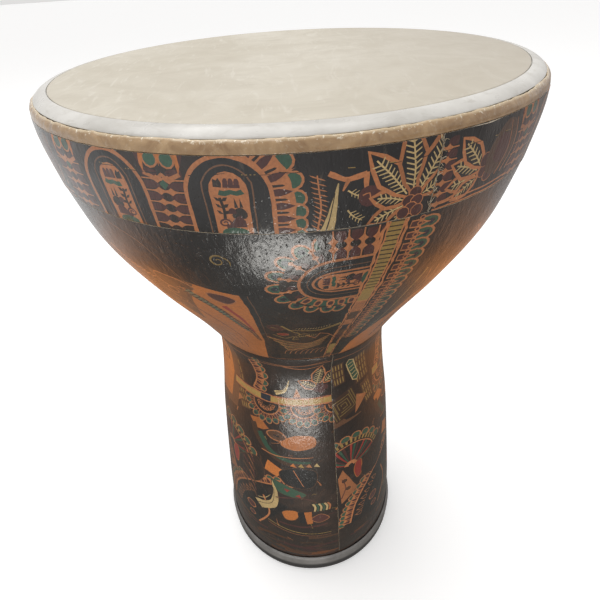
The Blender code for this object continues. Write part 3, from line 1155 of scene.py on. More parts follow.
def make_wrap(sheet, material, top_edge=None, lift=None):
    """Cut the sheet, give it a back and edges, and roll it round the drum as one closed piece."""
    border = sheet_border(sheet, top_edge)
    flat, front, inks = cut_sheet(sheet, border)
    loop = rim_loop(front)
    on_rim = set(loop)
    below, back, where = cut_back(border, [flat[i] for i in loop])

    def raised(p, depth):
        outward = lift(p.x / sheet.per_degree, p.y) if lift else 0.0
        return Vector((p.x, p.y, outward - depth))

    points = [raised(p, EDGE_SINK if i in on_rim else 0.0) for i, p in enumerate(flat)]
    points += [raised(p, WRAP_THICKNESS) for p in below]
    shift = len(flat)
    back = [tuple(shift + i for i in triangle[::-1]) for triangle in back]
    walls = []
    for k, here in enumerate(loop):
        after = (k + 1) % len(loop)
        walls.append((shift + where[k], shift + where[after], loop[after], here))
    faces = front + back + walls
    colours = [tuple(c * tone for c in INKS[ink]) for ink, tone in inks]
    colours += [INKS["brown"]] * len(back) + [INKS["paper"]] * len(walls)
    mesh = new_mesh(sheet.name, [tuple(p) for p in points], faces=faces)
    layer = mesh.attributes.new("ink", "FLOAT_COLOR", "CORNER")
    values = [c for face, colour in zip(faces, colours) for corner in face for c in (*colour, 1.0)]
    layer.data.foreach_set("color", values)
    piece = new_object(sheet.name, mesh)
    roll(piece, sheet, material)
    piece.data.shade_smooth()
    piece.data.set_sharp_from_angle(angle=SHARP_EDGE)
    print(sheet.name, "carries", len(sheet.shapes), "shapes on", len(front), "triangles")
    return piece


print("wraps are", WRAP_THICKNESS, "mm thick")

# %% [markdown]
# ## Row motifs
#
# Each motif is drawn once in a unit cell. Most are symmetrical, so only the right half is written and
# the other half is mirrored. The later shapes of a motif lie on top of its earlier ones.

# %% Row motifs


def mirrored(half, shift=0.0, grow=1.0):
    """A closed outline from its right half, written from bottom to top."""
    left = [(-x, y) for x, y in reversed(half) if x > 0]
    return [(x * grow + shift, y) for x, y in list(half) + left]


SPIKE = [(0.37, 0.0), (0.40, 0.30), (0.27, 0.55), (0.08, 0.80), (0.0, 1.0)]
PETAL = [(0.24, 0.04), (0.28, 0.28), (0.18, 0.50), (0.05, 0.66), (0.0, 0.72)]
ARCHLET = [(0.0, -0.25), (0.50, -0.15), (0.56, 0.30), (0.46, 0.70), (0.24, 0.94), (0.0, 1.0)]
POOL = [(0.0, -0.20), (0.38, -0.10), (0.43, 0.30), (0.34, 0.62), (0.17, 0.80), (0.0, 0.84)]
BOWTIE = [(0.05, 0.0), (0.06, 0.22), (0.13, 0.29), (0.34, 0.37), (0.15, 0.44), (0.10, 0.50),
          (0.15, 0.56), (0.34, 0.63), (0.13, 0.71), (0.06, 0.78), (0.05, 1.0)]
LOW_PETAL = [(0.0, 0.03), (0.32, 0.05), (0.36, 0.22), (0.22, 0.36), (0.0, 0.43)]
HIGH_PETAL = [(x, 1 - y) for x, y in LOW_PETAL[::-1]]
CUP = [(0.0, 0.0), (0.34, 0.08), (0.46, 0.42), (0.34, 0.96)]
DISC = [(0.0, 0.0), (0.35, 0.15), (0.5, 0.5), (0.35, 0.85), (0.0, 1.0)]
SMALL_DISC = [(x * 0.55, 0.22 + y * 0.56) for x, y in DISC]
COMB = [(-0.60, 0.06), (-0.40, 0.06), (-0.42, 0.42), (-0.5, 0.5), (-0.58, 0.42)]
SPOKE = [(0.06, 0.0), (0.07, 0.28), (0.32, 0.40), (0.12, 0.52), (0.10, 0.66), (0.26, 0.80), (0.0, 0.90)]
BUD = [(0.0, 0.05), (0.24, 0.10), (0.26, 0.34), (0.0, 0.50)]
PUPIL = [(0.0, 0.18), (0.2, 0.28), (0.22, 0.5), (0.0, 0.64)]
SIP = [(0.0, 0.2), (0.2, 0.24), (0.28, 0.45), (0.2, 0.8)]
BARB = [(-0.10, 0.0), (0.12, 0.0), (0.55, 0.55), (0.80, 1.0), (0.30, 0.60)]
add_motif("petal", (mirrored(SPIKE), "copper"), (mirrored(PETAL), "maroon"), (COMB, "dark"))
add_motif("spoke", (mirrored(SPOKE), "copper"), (mirrored(BUD, 0.5), "maroon"))
add_motif("flame", (mirrored(SPIKE), "copper"), (mirrored(PETAL, 0, 1.1), "dark"))
add_motif("scallop", (mirrored(ARCHLET), "copper"), (mirrored(POOL), "green"))
add_motif("eye", (mirrored(ARCHLET), "copper"), (mirrored(POOL), "green"), (mirrored(PUPIL), "navy"))
add_motif("bowtie", (mirrored(LOW_PETAL, 0.5), "maroon"), (mirrored(HIGH_PETAL, 0.5), "maroon"),
          (mirrored(BOWTIE), "copper"))
add_motif("cup", (mirrored(CUP), "copper"), (mirrored(SIP), "maroon"))
add_motif("bead", (mirrored(DISC), "copper"), (mirrored(SMALL_DISC), "maroon"))
add_motif("barb", (BARB, "copper"))
add_motif("rib", ([(-0.10, 0.0), (0.12, 0.0), (0.60, 1.0), (0.45, 1.0)], "cream"))
add_motif("rib_back", ([(0.10, 0.0), (-0.12, 0.0), (0.36, -1.0), (0.52, -1.0)], "cream"))
for name, half, ink in (("rung", [(0.16, 0.0), (0.14, 0.5), (0.17, 1.0)], "dark"),
                        ("seed", DISC, "gold"),
                        ("tooth", [(0.5, 0.0), (0.0, 1.0)], "copper"),
                        ("slit", [(0.14, 0.0), (0.18, 0.5), (0.12, 1.0)], "gold"),
                        ("scallop_plain", [(0.46, 0.0), (0.46, 0.6), (0.25, 0.95), (0.0, 1.0)], "maroon")):
    add_motif(name, (mirrored(half), ink))
print(len(MOTIFS), "row motifs")

# %% [markdown]
# ## Ornaments
#
# Ornaments are small functions that take a pen and draw about its origin, in millimetres. They are
# generic on purpose: arches, petals, leaves, horns, spirals and bars, with no figure and no letter.

# %% Ornament helpers


def arch(width, bottom, shoulder, top):
    """Up the left side, round the crown and down the right side."""
    crown = []
    for k in range(9):
        angle = math.pi * k / 8
        crown.append((-width / 2 * math.cos(angle), shoulder + (top - shoulder) * math.sin(angle)))
    return [(-width / 2, bottom)] + crown + [(width / 2, bottom)]


def beside(path, distance):
    """The same path moved to its left by a distance."""
    line = [Vector(p) for p in path]
    moved = []
    for i, point in enumerate(line):
        along = (line[min(i + 1, len(line) - 1)] - line[max(i - 1, 0)]).normalized()
        moved.append(point + Vector((-along.y, along.x)) * distance)
    return moved


def path_length(path):
    return sum((Vector(b) - Vector(a)).length for a, b in zip(path, path[1:]))


def portion(path, start, end):
    """The part of a smooth path between two fractions of its point count."""
    line = smooth_line(path)
    return line[int(start * (len(line) - 1)):int(end * (len(line) - 1)) + 1]


def fringe(pen, path, depth, pitch=4.5, edge=1.5, petal="petal", crest="scallop", ground="copper"):
    """Petals that stand on the left of a path, with a scalloped crest behind their tips."""
    line = smooth_line(path)
    count = max(2, round(path_length(line) / pitch))
    outer = path_length(beside(line, depth * 0.7)) / count
    pen.row(crest, line, count, outer * 1.02, depth * 0.46, depth * 0.54, smooth=False, between=True)
    pen.stroke(beside(line, depth * 0.3), depth * 0.64, ground, smooth=False)
    pen.row(petal, line, count, pitch, depth * 0.86, smooth=False)
    pen.stroke(line, edge, "copper", smooth=False)


def spiral(radius, turns, start=0.0):
    points = []
    for k in range(int(turns * 9) + 1):
        angle = start + math.tau * k / 9
        reach = radius * (1 - 0.85 * k / (turns * 9))
        points.append((reach * math.cos(angle), reach * math.sin(angle)))
    return points


def leaf(pen, length, width, ribs, edge):
    """A pointed leaf along +y with a herringbone of ribs."""
    half = width / 2
    right = [(0, 0), (0.62, 0.22), (1, 0.52), (0.5, 0.8), (0, 1)]
    pen.blob([(x * half, y * length) for x, y in mirrored(right)], "black", edge, smooth=False)
    pen.stroke([(0, length * 0.06), (0.3, length * 0.5), (0, length * 0.86)], 0.55, "cream")
    for side in ("rib", "rib_back"):
        pen.row(side, [(0, length * 0.1), (0, length * 0.8)], ribs, length / ribs * 1.1, half * 0.62)


def sprig(pen, length):
    pen.stroke([(0, 0), (0.5, length * 0.5), (0, length)], 0.6, "cream", 0.3)
    for side in ("rib", "rib_back"):
        pen.row(side, [(0, length * 0.15), (0, length * 0.95)], 4, length / 4, length * 0.24)


def feather(pen, path, width, pitch=2.6, ink="brown"):
    """A vane of curved barbs along both sides of a quill."""
    line = smooth_line(path)
    count = round(path_length(line) / pitch)
    pen.stroke(line, width * 1.6, ink, width * 0.7, smooth=False)
    for quill in (line, line[::-1]):
        pen.row("barb", quill, count, pitch * 0.9, width * 0.8, smooth=False)
    pen.stroke(line, 0.7, "copper", 0.4, smooth=False)


def horn(pen, path, width, ink="cream"):
    """A curved horn, wide where the path starts, split by one dark line."""
    pen.stroke(path, width + 0.9, "dark", 0.8)
    pen.stroke(path, width, ink, 0.4)
    pen.stroke(portion(beside(smooth_line(path), width * 0.1), 0, 0.85), 0.55, "dark", 0.25, smooth=False)


def disc(pen, x, y, radius, ink="maroon", rim=0.0):
    spot = pen.moved(x, y)
    spot.blob(round_shape(radius * 2, points=11), ink, rim, smooth=False)


def fan(pen, radius, start, end, pitch):
    """A half-open fan of green and red bars with a scalloped crest, turned from one angle to another."""
    def ray(share, reach):
        angle = math.radians(start + (end - start) * share)
        return Vector((math.cos(angle), math.sin(angle))) * radius * reach

    shares = [k / 14 for k in range(15)]
    crest = [ray(share, 0.70) for share in shares[::-1]]
    pen.fill([ray(share, 0.9) for share in shares] + [Vector((0, 0))], "dark")
    bars = round(path_length(crest) / pitch * 2)
    for k in range(bars):
        share, ink = (k + 0.5) / bars, ("green", "red", "dark", "maroon")[k % 4]
        bar, tip = [ray(share, 0.14), ray(share, 0.70)], [ray(share, 0.74), ray(share, 0.93)]
        pen.stroke(bar, radius * 0.02, ink, radius * 1.2 / bars, smooth=False)
        pen.stroke(tip, pitch * 0.26, "gold", pitch * 0.34, smooth=False)
    pen.stroke(crest, 0.9, "copper")
    pen.row("scallop", [p * 1.25 for p in crest], bars // 2, pitch * 1.2, pitch * 0.7, between=True)
    pen.stroke([ray(share, 0.12) for share in shares[::-1]], radius * 0.1, "copper")


def cartouche(pen, width, height, turned=False):
    """A round-topped copper panel filled with bars, a comb, seeds and a spiral."""
    k = width / 12
    pen = pen.moved(0, 0, 0, (k * (-1 if turned else 1), height / 27))
    pen.fill(arch(12, 0, 19, 27), "copper", tone=1.0)
    pen.fill([(-4.4, 21), (-1.9, 20.6), (-1.7, 22.5), (-2.6, 24.6), (-3.2, 23.6), (-4.3, 24.2)], "dark")
    pen.row("scallop_plain", [(-1.4, 21.6), (3.6, 21.4)], 3, 1.7, 2.9)
    pen.stroke([(-1.4, 21.3), (3.7, 21.1)], 1.3, "maroon")
    pen.stroke([(-3, 18.6), (-1.2, 18.1), (0.6, 18.8), (2.4, 18.2), (4.3, 19.0)], 2.0, "green")
    pen.stroke([(-2.9, 6.6), (-2.6, 11), (-3.1, 16.4)], 1.0, "dark")
    for y in (9.2, 12, 14.8):
        pen.fill([(-3, y), (-1.4, y + 0.2), (-0.7, y + 1.7), (-2, y + 1.6)], "dark")
        pen.fill([(-3, y), (-4.4, y + 0.4), (-5, y + 1.9), (-3.9, y + 1.5)], "dark")
    pen.fill([(0.9, 12), (1.3, 16.6), (2.1, 12)], "dark")
    pen.fill([(2.6, 12), (3.0, 16), (3.8, 12)], "dark")
    pen.blob([(-0.3, 8.6), (0.9, 7.0), (4.2, 7.2), (4.9, 9.4), (3.4, 11.8), (1.3, 11.6)], "dark")
    pen.fill(arch(2.6, 9.4, 10.4, 12), "maroon")
    pen.stroke([(x - 3.0, y + 5.0) for x, y in spiral(2.3, 1.7, -1.2)], 0.85, "maroon", 0.6)
    pen.stroke([(-2.6, 2.8), (-0.4, 3.6), (1.0, 6.2), (3.2, 7.4)], 2.2, "maroon", 2.6)
    pen.fill([(0.4, 3.0), (4.2, 3.1), (3.9, 6.4), (1.3, 6.2)], "maroon")
    pen.fill(arch(9, 0, 0.6, 2.9), "green")


def framed_arch(pen, width, height, panel, turned=False):
    """A black arch with a thick copper edge, a thin inner line and a panel in its opening."""
    shoulder = height * 0.5
    pen.fill(arch(width, -1, shoulder, height), "black", tone=1.0)
    pen.stroke(arch(width - 1, -1, shoulder, height - 0.5), 1.5, "copper")
    pen.stroke(arch(panel + 3.6, -1, height * 0.60, height - 3.6), 0.5, "brown", tone=2.0)
    cartouche(pen.moved(0.3, 0.4), panel, height - 6.0, turned)


print("ornaments ready")

# %% [markdown]
# ## The rim band
#
# The rim band repeats every quarter turn: two framed arches with a column of petals between them,
# a fringe of petals and scallops, then a dark field of palm leaves and dates. Each quarter is drawn
# with other turns and other small pieces, as the printer's hand would.

# %% Print the rim band
QUARTERS = (180, 90, 270, 0)
RIM_FOOT = RIM_OUTLINE[0][0]
PALM_LEAVES = ((112, 14, 5.6), (76, 13, 6.0), (42, 23, 8.4), (8, 24, 9.0), (-24, 24, 8.0), (-58, 17, 6.6),
               (142, 13, 4.6))
rim = Sheet("printed_rim", RIM_OUTLINE, 122.5, 23.5, "black")


def petal_column(sheet, azimuth, width):
    """A column of petals from both sides, with copper bow ties, and a crest of scallops at the top."""
    pen = Pen(sheet, azimuth, RIM_FOOT)
    pen.fill([(-width / 2 - 3, -1), (width / 2 + 3, -1), (width / 2 + 7, 30), (-width / 2 - 7, 30)], "dark")
    pen.row("bowtie", [(width / 2, 0.6), (width / 2, 22.6)], 5, 4.4, width)
    pen.stroke([(-width * 0.42, 22.5), (-1.8, 20.6), (0, 22.2), (1.8, 20.6), (width * 0.42, 22.5)], 1.4)
    pen.fill([(-1.6, 18.6), (0, 16.6), (1.7, 18.6), (0.2, 20.4)], "green")
    for side in (-1, 1):
        disc(pen, side * 3.1, 27.2, 2.4, "green", 0.7)
        pen.fill([(side * 5.4, 29.5), (side * 6.6, 22.5), (side * 9.0, 29.5)], "orange")
        pen.fill([(side * 7.2, 29.5), (side * 7.6, 24.5), (side * 9.4, 29.5)], "maroon")
    pen.fill([(-0.9, 29.5), (0, 24.8), (0.9, 29.5)], "orange")


def palm_field(sheet, start, turned):
    """Horn, feather, branch, sprigs, a date, and a palm crown of ribbed leaves."""
    def pen(azimuth, height, turn=0.0):
        return Pen(sheet, start + azimuth, height, turn + (6 if turned else 0))

    feather(pen(3.6, 371), [(0, 0), (1.0, 10), (0, 21)], 3.2, 2.0, "dark")
    horn(pen(5.0, RIM_FOOT), [(0.2, -1.5), (1.8, 6), (3.6, 18)], 5.2)
    branch = pen(9.5, 389)
    branch.stroke([(-9, 3.2), (-4, 0.6), (0, 1.2), (3.4, 2.0)], 1.9)
    branch.stroke([(-2.5, 0.8), (-4.5, -3.5)], 1.7, "copper", 0.6)
    branch.stroke([(3.2, 2.4), (3.8, -3.4), (6, -4.2), (11, -3.4)], 1.8)
    branch.stroke([(10.6, -3.4), (12.4, -2.6)], 2.2, "copper", 1.0)
    sprig(pen(8.2, 385.5, -118), 6.5)
    sprig(pen(8.4, 378.0, -132), 7)
    disc(pen(11.8, 382.2), 0, 0, 4.0, "maroon")
    pen(11.8, 382.2).stroke([(-2.4, 0.5), (0, 1.2), (0.4, -1.6)], 0.4, "copper")
    palm = pen(19.6, 377.5)
    for turn, length, width in PALM_LEAVES:
        leaf(palm.moved(0, 0, turn).moved(0, 3.0), length, width, round(length / 2.6), 1.5)
    for x, y in ((0.5, 3.2), (-1.6, 0.2), (1.6, -0.2), (-0.3, -3.0), (-3.0, -4.6), (2.6, -4.4)):
        disc(palm, x, y, 2.3, "maroon", 0.35)
    crown = pen(34.5, 381)
    for turn, length, width in ((98, 14, 6.8), (70, 15, 7.0), (44, 17, 7.0), (122, 12, 5.5)):
        leaf(crown.moved(0, 0, turn).moved(0, 3.5), length, width, 5, 1.4)
    for x, y in ((0, 0), (3.2, 2.6), (3.6, -2.4), (-0.6, 4.4)):
        disc(crown, x, y, 2.6, "maroon", 0.3)
    pen(38, 388).blob([(-6, -8), (2, -10), (8, -4), (9, 6), (2, 10), (-4, 6), (-7, 0)], "brown")
    pen(38, 388).blob([(-3, -4), (3, -6), (6, 1), (1, 6), (-3, 3)], "maroon")
    for x in (-4, 0, 4):
        pen(41.5, 386).stroke([(x - 2, -9), (x + 2, 0), (x, 11)], 0.6, "copper", 0.3)
    for v in (0.6, 2.6):
        pen(34, RIM_FOOT).stroke([(-21, v), (0, v + 0.2), (22, v + 0.9)], 0.7)
    pen(24, 371).stroke([(-7, -1.5), (-2, 2.2), (6, 2.8), (14, 5)], 1.0)


for quarter in QUARTERS:
    turned = quarter in (90, 180)
    Pen(rim, quarter - 66, RIM_FOOT).row("bowtie", [(6, 0.6), (6, 26)], 6, 4.4, 12)
    petal_column(rim, quarter - 43.0, 17)
    petal_column(rim, quarter - 20.4, 16.5)
    wing = Pen(rim, quarter - 10, RIM_FOOT)
    fringe(wing, arch(29, -1, 14, 30)[5:], 11.5, 4.9, 1.6)
    framed_arch(wing, 30, 29.6, 13, turned)
    framed_arch(Pen(rim, quarter - 30.8, RIM_FOOT), 29, 29.6, 12.4, not turned)
    palm_field(rim, quarter, turned)
# Short black and dark strokes along a line about 6 mm under the band's top: painted shade of a fine fold in
# the wrap, with a few gold dots beside it.
crease_shade = random.Random(5)
for azimuth in range(0, 360, 5):
    pen = Pen(rim, azimuth + crease_shade.uniform(-1, 1), 392.9 + crease_shade.uniform(-0.3, 0.5))
    reach = crease_shade.uniform(1.5, 5.5)
    line = [(-reach, crease_shade.uniform(-0.4, 0.4)), (0, 0), (reach, 0.1)]
    pen.stroke(line, 0.30, crease_shade.choice(("black", "black", "dark")), 0.15)
    if crease_shade.random() < 0.35:
        pen.row("seed", [(-reach, 0.2), (0, 0.1)], 4, 0.7, 0.32)
print(len(rim.shapes), "shapes on the rim band")

# %% [markdown]
# ## The bowl
#
# The bowl carries, four times round, an arch that lies on its side against a slanting ladder strip,
# a coloured panel, loose feather strokes and a net of petals.

# %% Print the bowl
BOWL_FOOT = BOWL_OUTLINE[0][0]
LADDER_BLOCKS = ((0.30, 0.375, "gold"), (0.47, 0.53, "brown"), (0.53, 0.585, "copper"), (0.585, 0.64, "navy"),
                 (0.64, 0.70, "brown"), (0.70, 0.75, "maroon"), (0.75, 0.82, "dark"), (0.82, 0.93, "gold"),
                 (0.93, 1.0, "brown"))
bowl = Sheet("printed_bowl", BOWL_OUTLINE, 110.0, 197.0, "black")


def ladder(sheet, start):
    """A strip between two rails, from the rim down to the neck, with rungs and coloured blocks."""
    pen = Pen(sheet, start, BOWL_FOOT)
    across, top = sheet.per_degree, sheet.height
    path = [(17.8 * across, top + 1), (15.6 * across, top * 0.72), (14.2 * across, top * 0.45),
            (12.6 * across, -1)]
    pen.stroke(path, 9.4, "copper", 8.0)
    pen.stroke(path, 7.4, "dark", 6.2)
    pen.stroke(path, 6.6, "copper", 5.4)
    pen.stroke(portion(path, 0, 0.36), 5.0, "gold")
    pen.row("rung", beside(portion(path, 0.01, 0.30), -2.6), 17, 1.9, 5.2, smooth=False)
    pen.row("rung", beside(portion(path, 0.385, 0.47), -2.5), 9, 1.0, 5.0, smooth=False)
    for start_at, end_at, ink in LADDER_BLOCKS:
        pen.stroke(portion(path, start_at, end_at), 5.2, ink, smooth=False)


def lying_arch(sheet, start, turned):
    """An arch on its side. Its legs run into the ladder; petals stand all round its outside."""
    pen = Pen(sheet, start + 15.6, 342.5, 90)
    legs = arch(26.5, -5, 15, 30)
    line = smooth_line(legs)
    count = round(path_length(line) / 6.0)
    low_leg, high_leg = portion(legs, 0.0, 0.40), portion(legs, 0.72, 1.0)
    pen.fill(arch(52, -6, 20, 43), "dark")
    pen.row("eye", line[len(line) // 5:], count, 6.6, 7.0, 6.6, smooth=False, between=True)
    pen.stroke(beside(line, 4.4), 6.4, "dark", smooth=False)
    pen.row("flame" if turned else "spoke", line, count, 4.6, 9.4, 0.4, smooth=False)
    pen.stroke(beside(low_leg, 3.6), 5.4, "green", smooth=False)
    pen.row("cup", low_leg, 7, 4.2, 6.2, 0.6, smooth=False)
    pen.stroke(beside(high_leg, 7.6), 15, "dark", smooth=False)
    pen.row("bowtie", beside(high_leg, 0.4), 5, 5.4, 14.4, smooth=False)
    pen.stroke(line, 1.3, "copper", smooth=False)
    pen.fill(arch(25, -6, 14.5, 28.6), "black", tone=1.2)
    pen.stroke(arch(13.5, 2, 13, 24.5), 1.0)
    pen.stroke(arch(19, -2, 14, 26.8), 0.45, "brown", tone=1.8)
    cartouche(pen.moved(0, 3.2), 10.6, 19.5, turned)


def petal_net(sheet, start):
    """Petals with pale outlines on the far side of the ladder."""
    pen = Pen(sheet, start, BOWL_FOOT)
    across, top = sheet.per_degree, sheet.height
    path = [(15.6 * across, top * 0.24), (16.6 * across, top * 0.42), (18.0 * across, top * 0.68),
            (20.4 * across, top - 1)]
    back = path[::-1]
    pen.stroke(beside(back, 6), 13, "dark")
    count = round(path_length(path) / 5.6)
    pen.row("eye", back, count, 6.4, 7.0, 6.4)
    pen.row("petal", back, count, 5.0, 8.6, 0.6)
    pen.row("bead", beside(smooth_line(back), 3.2), count * 2, 2.4, 2.6, smooth=False, between=True)


def coloured_panel(sheet, start):
    """A warm panel with a striped feather and a red stripe, framed by a double bar."""
    pen = Pen(sheet, start - 21, 305)
    ground = [(-27, 44), (15.5, 34), (16.5, 14), (13, -24), (4, -60), (-30, -60), (-32, 10)]
    pen.fill(ground, "orange", tone=1.0)
    pen.fill([(-27, 44), (-5, 38.5), (-14, 20), (-22, -6), (-32, 10)], "brown", tone=1.5)
    pen.stroke([(16.5, 36), (17.5, 14), (15, -24), (10, -52)], 3.0, "black")
    pen.stroke([(-28, 45), (-6, 40.5), (17, 36)], 2.6, "black")
    pen.stroke([(18.4, 34), (19.4, 12), (17, -22)], 0.45, "brown", tone=1.8)
    pen.blob([(-24, 41), (-14, 40), (-6, 35), (-12, 31), (-22, 33)], "brown", 0.7)
    feather(pen, [(-14, 34), (-2, 18), (8, -6), (10, -26)], 3.6, 2.6, "dark")
    pen.stroke([(-11, 32), (-1, 15), (7, -10)], 4.0, "pale_green", 1.2, tone=0.6)
    pen.row("rung", [(-12, 31), (-3, 14), (5, -8)], 17, 2.4, 3.2)
    pen.stroke([(4, 22), (9, 8), (11, -10)], 2.8, "red", 1.0)
    pen.blob([(0, 33), (7, 33), (12, 29), (7, 25), (1, 28)], "maroon", 0.8)
    pen.stroke([(-30, 22), (-18, 12), (-6, -12), (-4, -34)], 1.2, "maroon", 0.6)
    pen.stroke([(-33, 30), (-24, 22), (-16, 2), (-14, -28)], 0.8, "copper", 0.5)
    for x in (-28, -22, -16, -10):
        pen.stroke([(x, -46), (x + 2, -36), (x + 1, -20)], 0.7, "maroon", 0.3)
    for y in (28, 18):
        disc(pen, -21, y, 2.6 if y > 20 else 1.8, "brown", 0.6)


def loose_feathers(sheet, start):
    """A sweep of thin feather strokes on the dark ground, a pale horn, and two small marks."""
    pen = Pen(sheet, start + 2, 284)
    horn(pen, [(19, 24), (6, 18), (-11, 20.5)], 2.6, "gold")
    pen.row("rib", [(-8, 21.6), (4, 20.4), (13, 23)], 13, 1.6, 1.8)
    for k in range(12):
        lift, bend = -2.2 * k, 6.0 - 0.6 * k
        ink = ("copper", "gold", "brown")[k % 3]
        pen.stroke([(-27 + k, 9 + lift), (-14, 2 - bend * 0.3 + lift * 0.8), (1, 2 - bend + lift * 0.66),
                    (16 - k * 0.5, 8 + lift * 0.72)], 0.85, ink, 0.4, tone=1.0 + 0.1 * (k % 2))
    for k in range(8):
        x = -20 + k * 4.6
        pen.stroke([(x, -23), (x + 2.5, -17.5), (x + 7, -15)], 0.75, "copper", 0.35, tone=0.9)
    pen.stroke([(-22, 13), (-15, 7), (-9, 9.5), (-10, 3.5), (-6, 5)], 0.8, "gold", tone=0.9)
    pen.stroke([(-1, 11), (5, 5), (8, 12.5), (13, 10), (18, 4)], 0.9, "copper", 0.5, smooth=False)
    pen.stroke([(-8, 8), (1, 11), (-3, 14), (-9, 8.5)], 0.6, "gold", 0.3)
    pen.row("slit", [(-6, 8.6), (6, 9.8)], 9, 1.2, 2.2)
    pen.blob([(-23, 26), (-17, 28), (-14, 22), (-20, 19)], "maroon", 0.5, "brown")
    pen.stroke([(-21, 25), (-17, 22)], 1.1, "gold", 0.5, tone=0.6)
    pen.blob([(-19, 14.6), (-14, 15.6), (-12, 13), (-17, 12)], "red", 0.4, "orange")
    pen.stroke([(-15, 27), (-10, 19), (-7, 15.5)], 1.5, "gold", 0.7, tone=0.9)
    pen.stroke([(-7, 16.5), (-5, 14), (-6, 12)], 1.2, "gold", 0.4, tone=0.8)


def side_panel(sheet, start):
    pen = Pen(sheet, start + 38, 300)
    pen.fill([(-14, 40), (26, 36), (20, -48), (-24, -48), (-20, -10)], "dark")
    pen.fill([(-4, 12), (22, 18), (16, -48), (-20, -48), (-16, -18)], "orange", tone=0.85)
    pen.stroke([(-14, 41), (-20, -10), (-25, -46)], 0.8, "gold", 0.4)
    bank = [(-30, -36), (-17, -14), (0, 5), (30, 14), (62, 10), (62, -60), (-36, -60)]
    pen.fill(bank, "orange", tone=1.1)
    for k in range(7):
        pen.stroke([(-10 + 5 * k, 38), (-8 + 5 * k, 26), (-11 + 5 * k, 12)], 0.7, "copper", 0.3, tone=0.7)
    feather(pen, [(2, 6), (0, -18), (-6, -42)], 4.0, 3.0, "maroon")
    fringe(pen.moved(17, -12, 0), [(0, -30), (3, 0), (2, 26)], 8, 5.0, 1.0)


for quarter in QUARTERS:
    turned = quarter in (90, 180)
    side_panel(bowl, quarter)
    coloured_panel(bowl, quarter)
    loose_feathers(bowl, quarter)
    lying_arch(bowl, quarter, turned)
    petal_net(bowl, quarter)
    ladder(bowl, quarter)
    feather(Pen(bowl, quarter - 41, 338), [(-10, 12), (0, 3), (12, -2)], 3.0, 2.8, "brown")
    scratch = [(-14, 5), (2, -2), (12, -14), (18, -26)]
    Pen(bowl, quarter - 34, 362).stroke(scratch, 0.5, "brown", 0.3, tone=2.2)
    spot = Pen(bowl, quarter - 15, 356)
    spot.stroke(spiral(3.4, 1.4, 0.5), 0.8, "gold", 0.4, tone=0.7)
    spot.stroke([(3, 2), (4.6, 0), (4.4, -2.4)], 0.7, "gold", 0.3, tone=0.7)
ring = [(bowl.per_degree * a, 0.3 * math.sin(a)) for a in range(-170, 191, 4)]
Pen(bowl, 0, 254.5, right_round=True).stroke(ring, 0.7, "copper", smooth=False)
print(len(bowl.shapes), "shapes on the bowl")

# %% [markdown]
# ## The stem
#
# The stem's sheet is busier and more worn: a copper band low on the neck, leaf and petal fans above
# and below it, a striped fan beside the seam, warm patches and dark crescents, and plain marbled
# brown for the last five centimetres above the foot ring.

# %% Print the stem
stem = Sheet("printed_stem", STEM_OUTLINE, 66.0, 17.0, "dark")


def neck_leaves(pen):
    """Above the copper band: a curved fringe, a horn and ribbed leaves."""
    pen.fill([(-100, -36), (-100, 35), (-56, 34), (-54, 4), (-60, -30)], "brown", tone=1.5)
    pen.fill([(-100, -30), (-100, 35), (-64, 34), (-62, 4), (-68, -24)], "orange", tone=1.05)
    pen.stroke([(-78, 12), (-68, 11), (-67, 24), (-78, 25)], 1.4, "maroon", smooth=False, closed=True)
    pen.fill([(-75, 15), (-71, 14.6), (-70.6, 20), (-75, 21)], "brown")
    pen.fill([(-46, 2), (-46, 30), (22, 34), (22, 0)], "dark")
    fringe(pen.moved(-38, 0), [(-2, 2), (1.5, 14), (-2.5, 29)][::-1], 10, 4.6, 1.2)
    horn(pen, [(-22, 3), (-15, 6), (-11, 16)], 4.0)
    pen.fill([(-9, 0), (-6, 9), (-3, 0)], "orange", tone=0.8)
    leaf(pen.moved(8, 10, -14), 19, 9.5, 8, 1.1)
    leaf(pen.moved(10, 8, 62), 16, 7, 6, 1.0)
    leaf(pen.moved(14, 12, -46), 15, 8, 6, 1.0)
    for x, y in ((8.5, 7), (12, 5.5), (10.5, 9.5), (14.5, 8)):
        disc(pen, x, y, 2.6, "maroon")
    pen.stroke([(-14, 30), (0, 27.5), (14, 30)], 0.9, "copper", 0.4)
    pen.stroke([(-30, 33), (-6, 31), (16, 34)], 0.7, "copper", 0.4, tone=0.6)


def copper_band(pen):
    line = [(-60, 3), (-30, 0.5), (22, 0)]
    pen.stroke(line, 8.6, "maroon")
    pen.stroke(line, 7.0, "copper")
    pen.stroke(line, 4.6, "gold", tone=1.3)
    pen.stroke([(-34, 0.8), (-26, 0.4)], 5.4, "navy")
    for x in (-48, -20, -14, -2, 2, 12):
        pen.stroke([(x, -2.6), (x + 0.3, 2.6)], 0.5, "copper")


def hanging_fans(pen):
    """Below the copper band: two half-round fans that hang from it."""
    for x, radius in ((-30, 17), (-1, 16), (23, 15)):
        hung = pen.moved(x, -4.5)
        turns = [math.radians(a) for a in range(-185, 6, 15)]
        half = [Vector((math.cos(a) * radius * 0.62, math.sin(a) * radius * 0.62)) for a in turns]
        hung.fill([p * 1.75 for p in half], "dark")
        hung.row("eye", half[::-1], 9, 5.0, 5.0, 4.4, between=True)
        hung.row("petal", half[::-1], 9, 4.0, 6.6)
        hung.stroke(half, 1.0)
        hung.row("bead", [p * 0.72 for p in half], 8, 3.0, 3.0)
        hung.row("flame", [p * 0.3 for p in half[::-1]], 5, 2.2, 4.0)


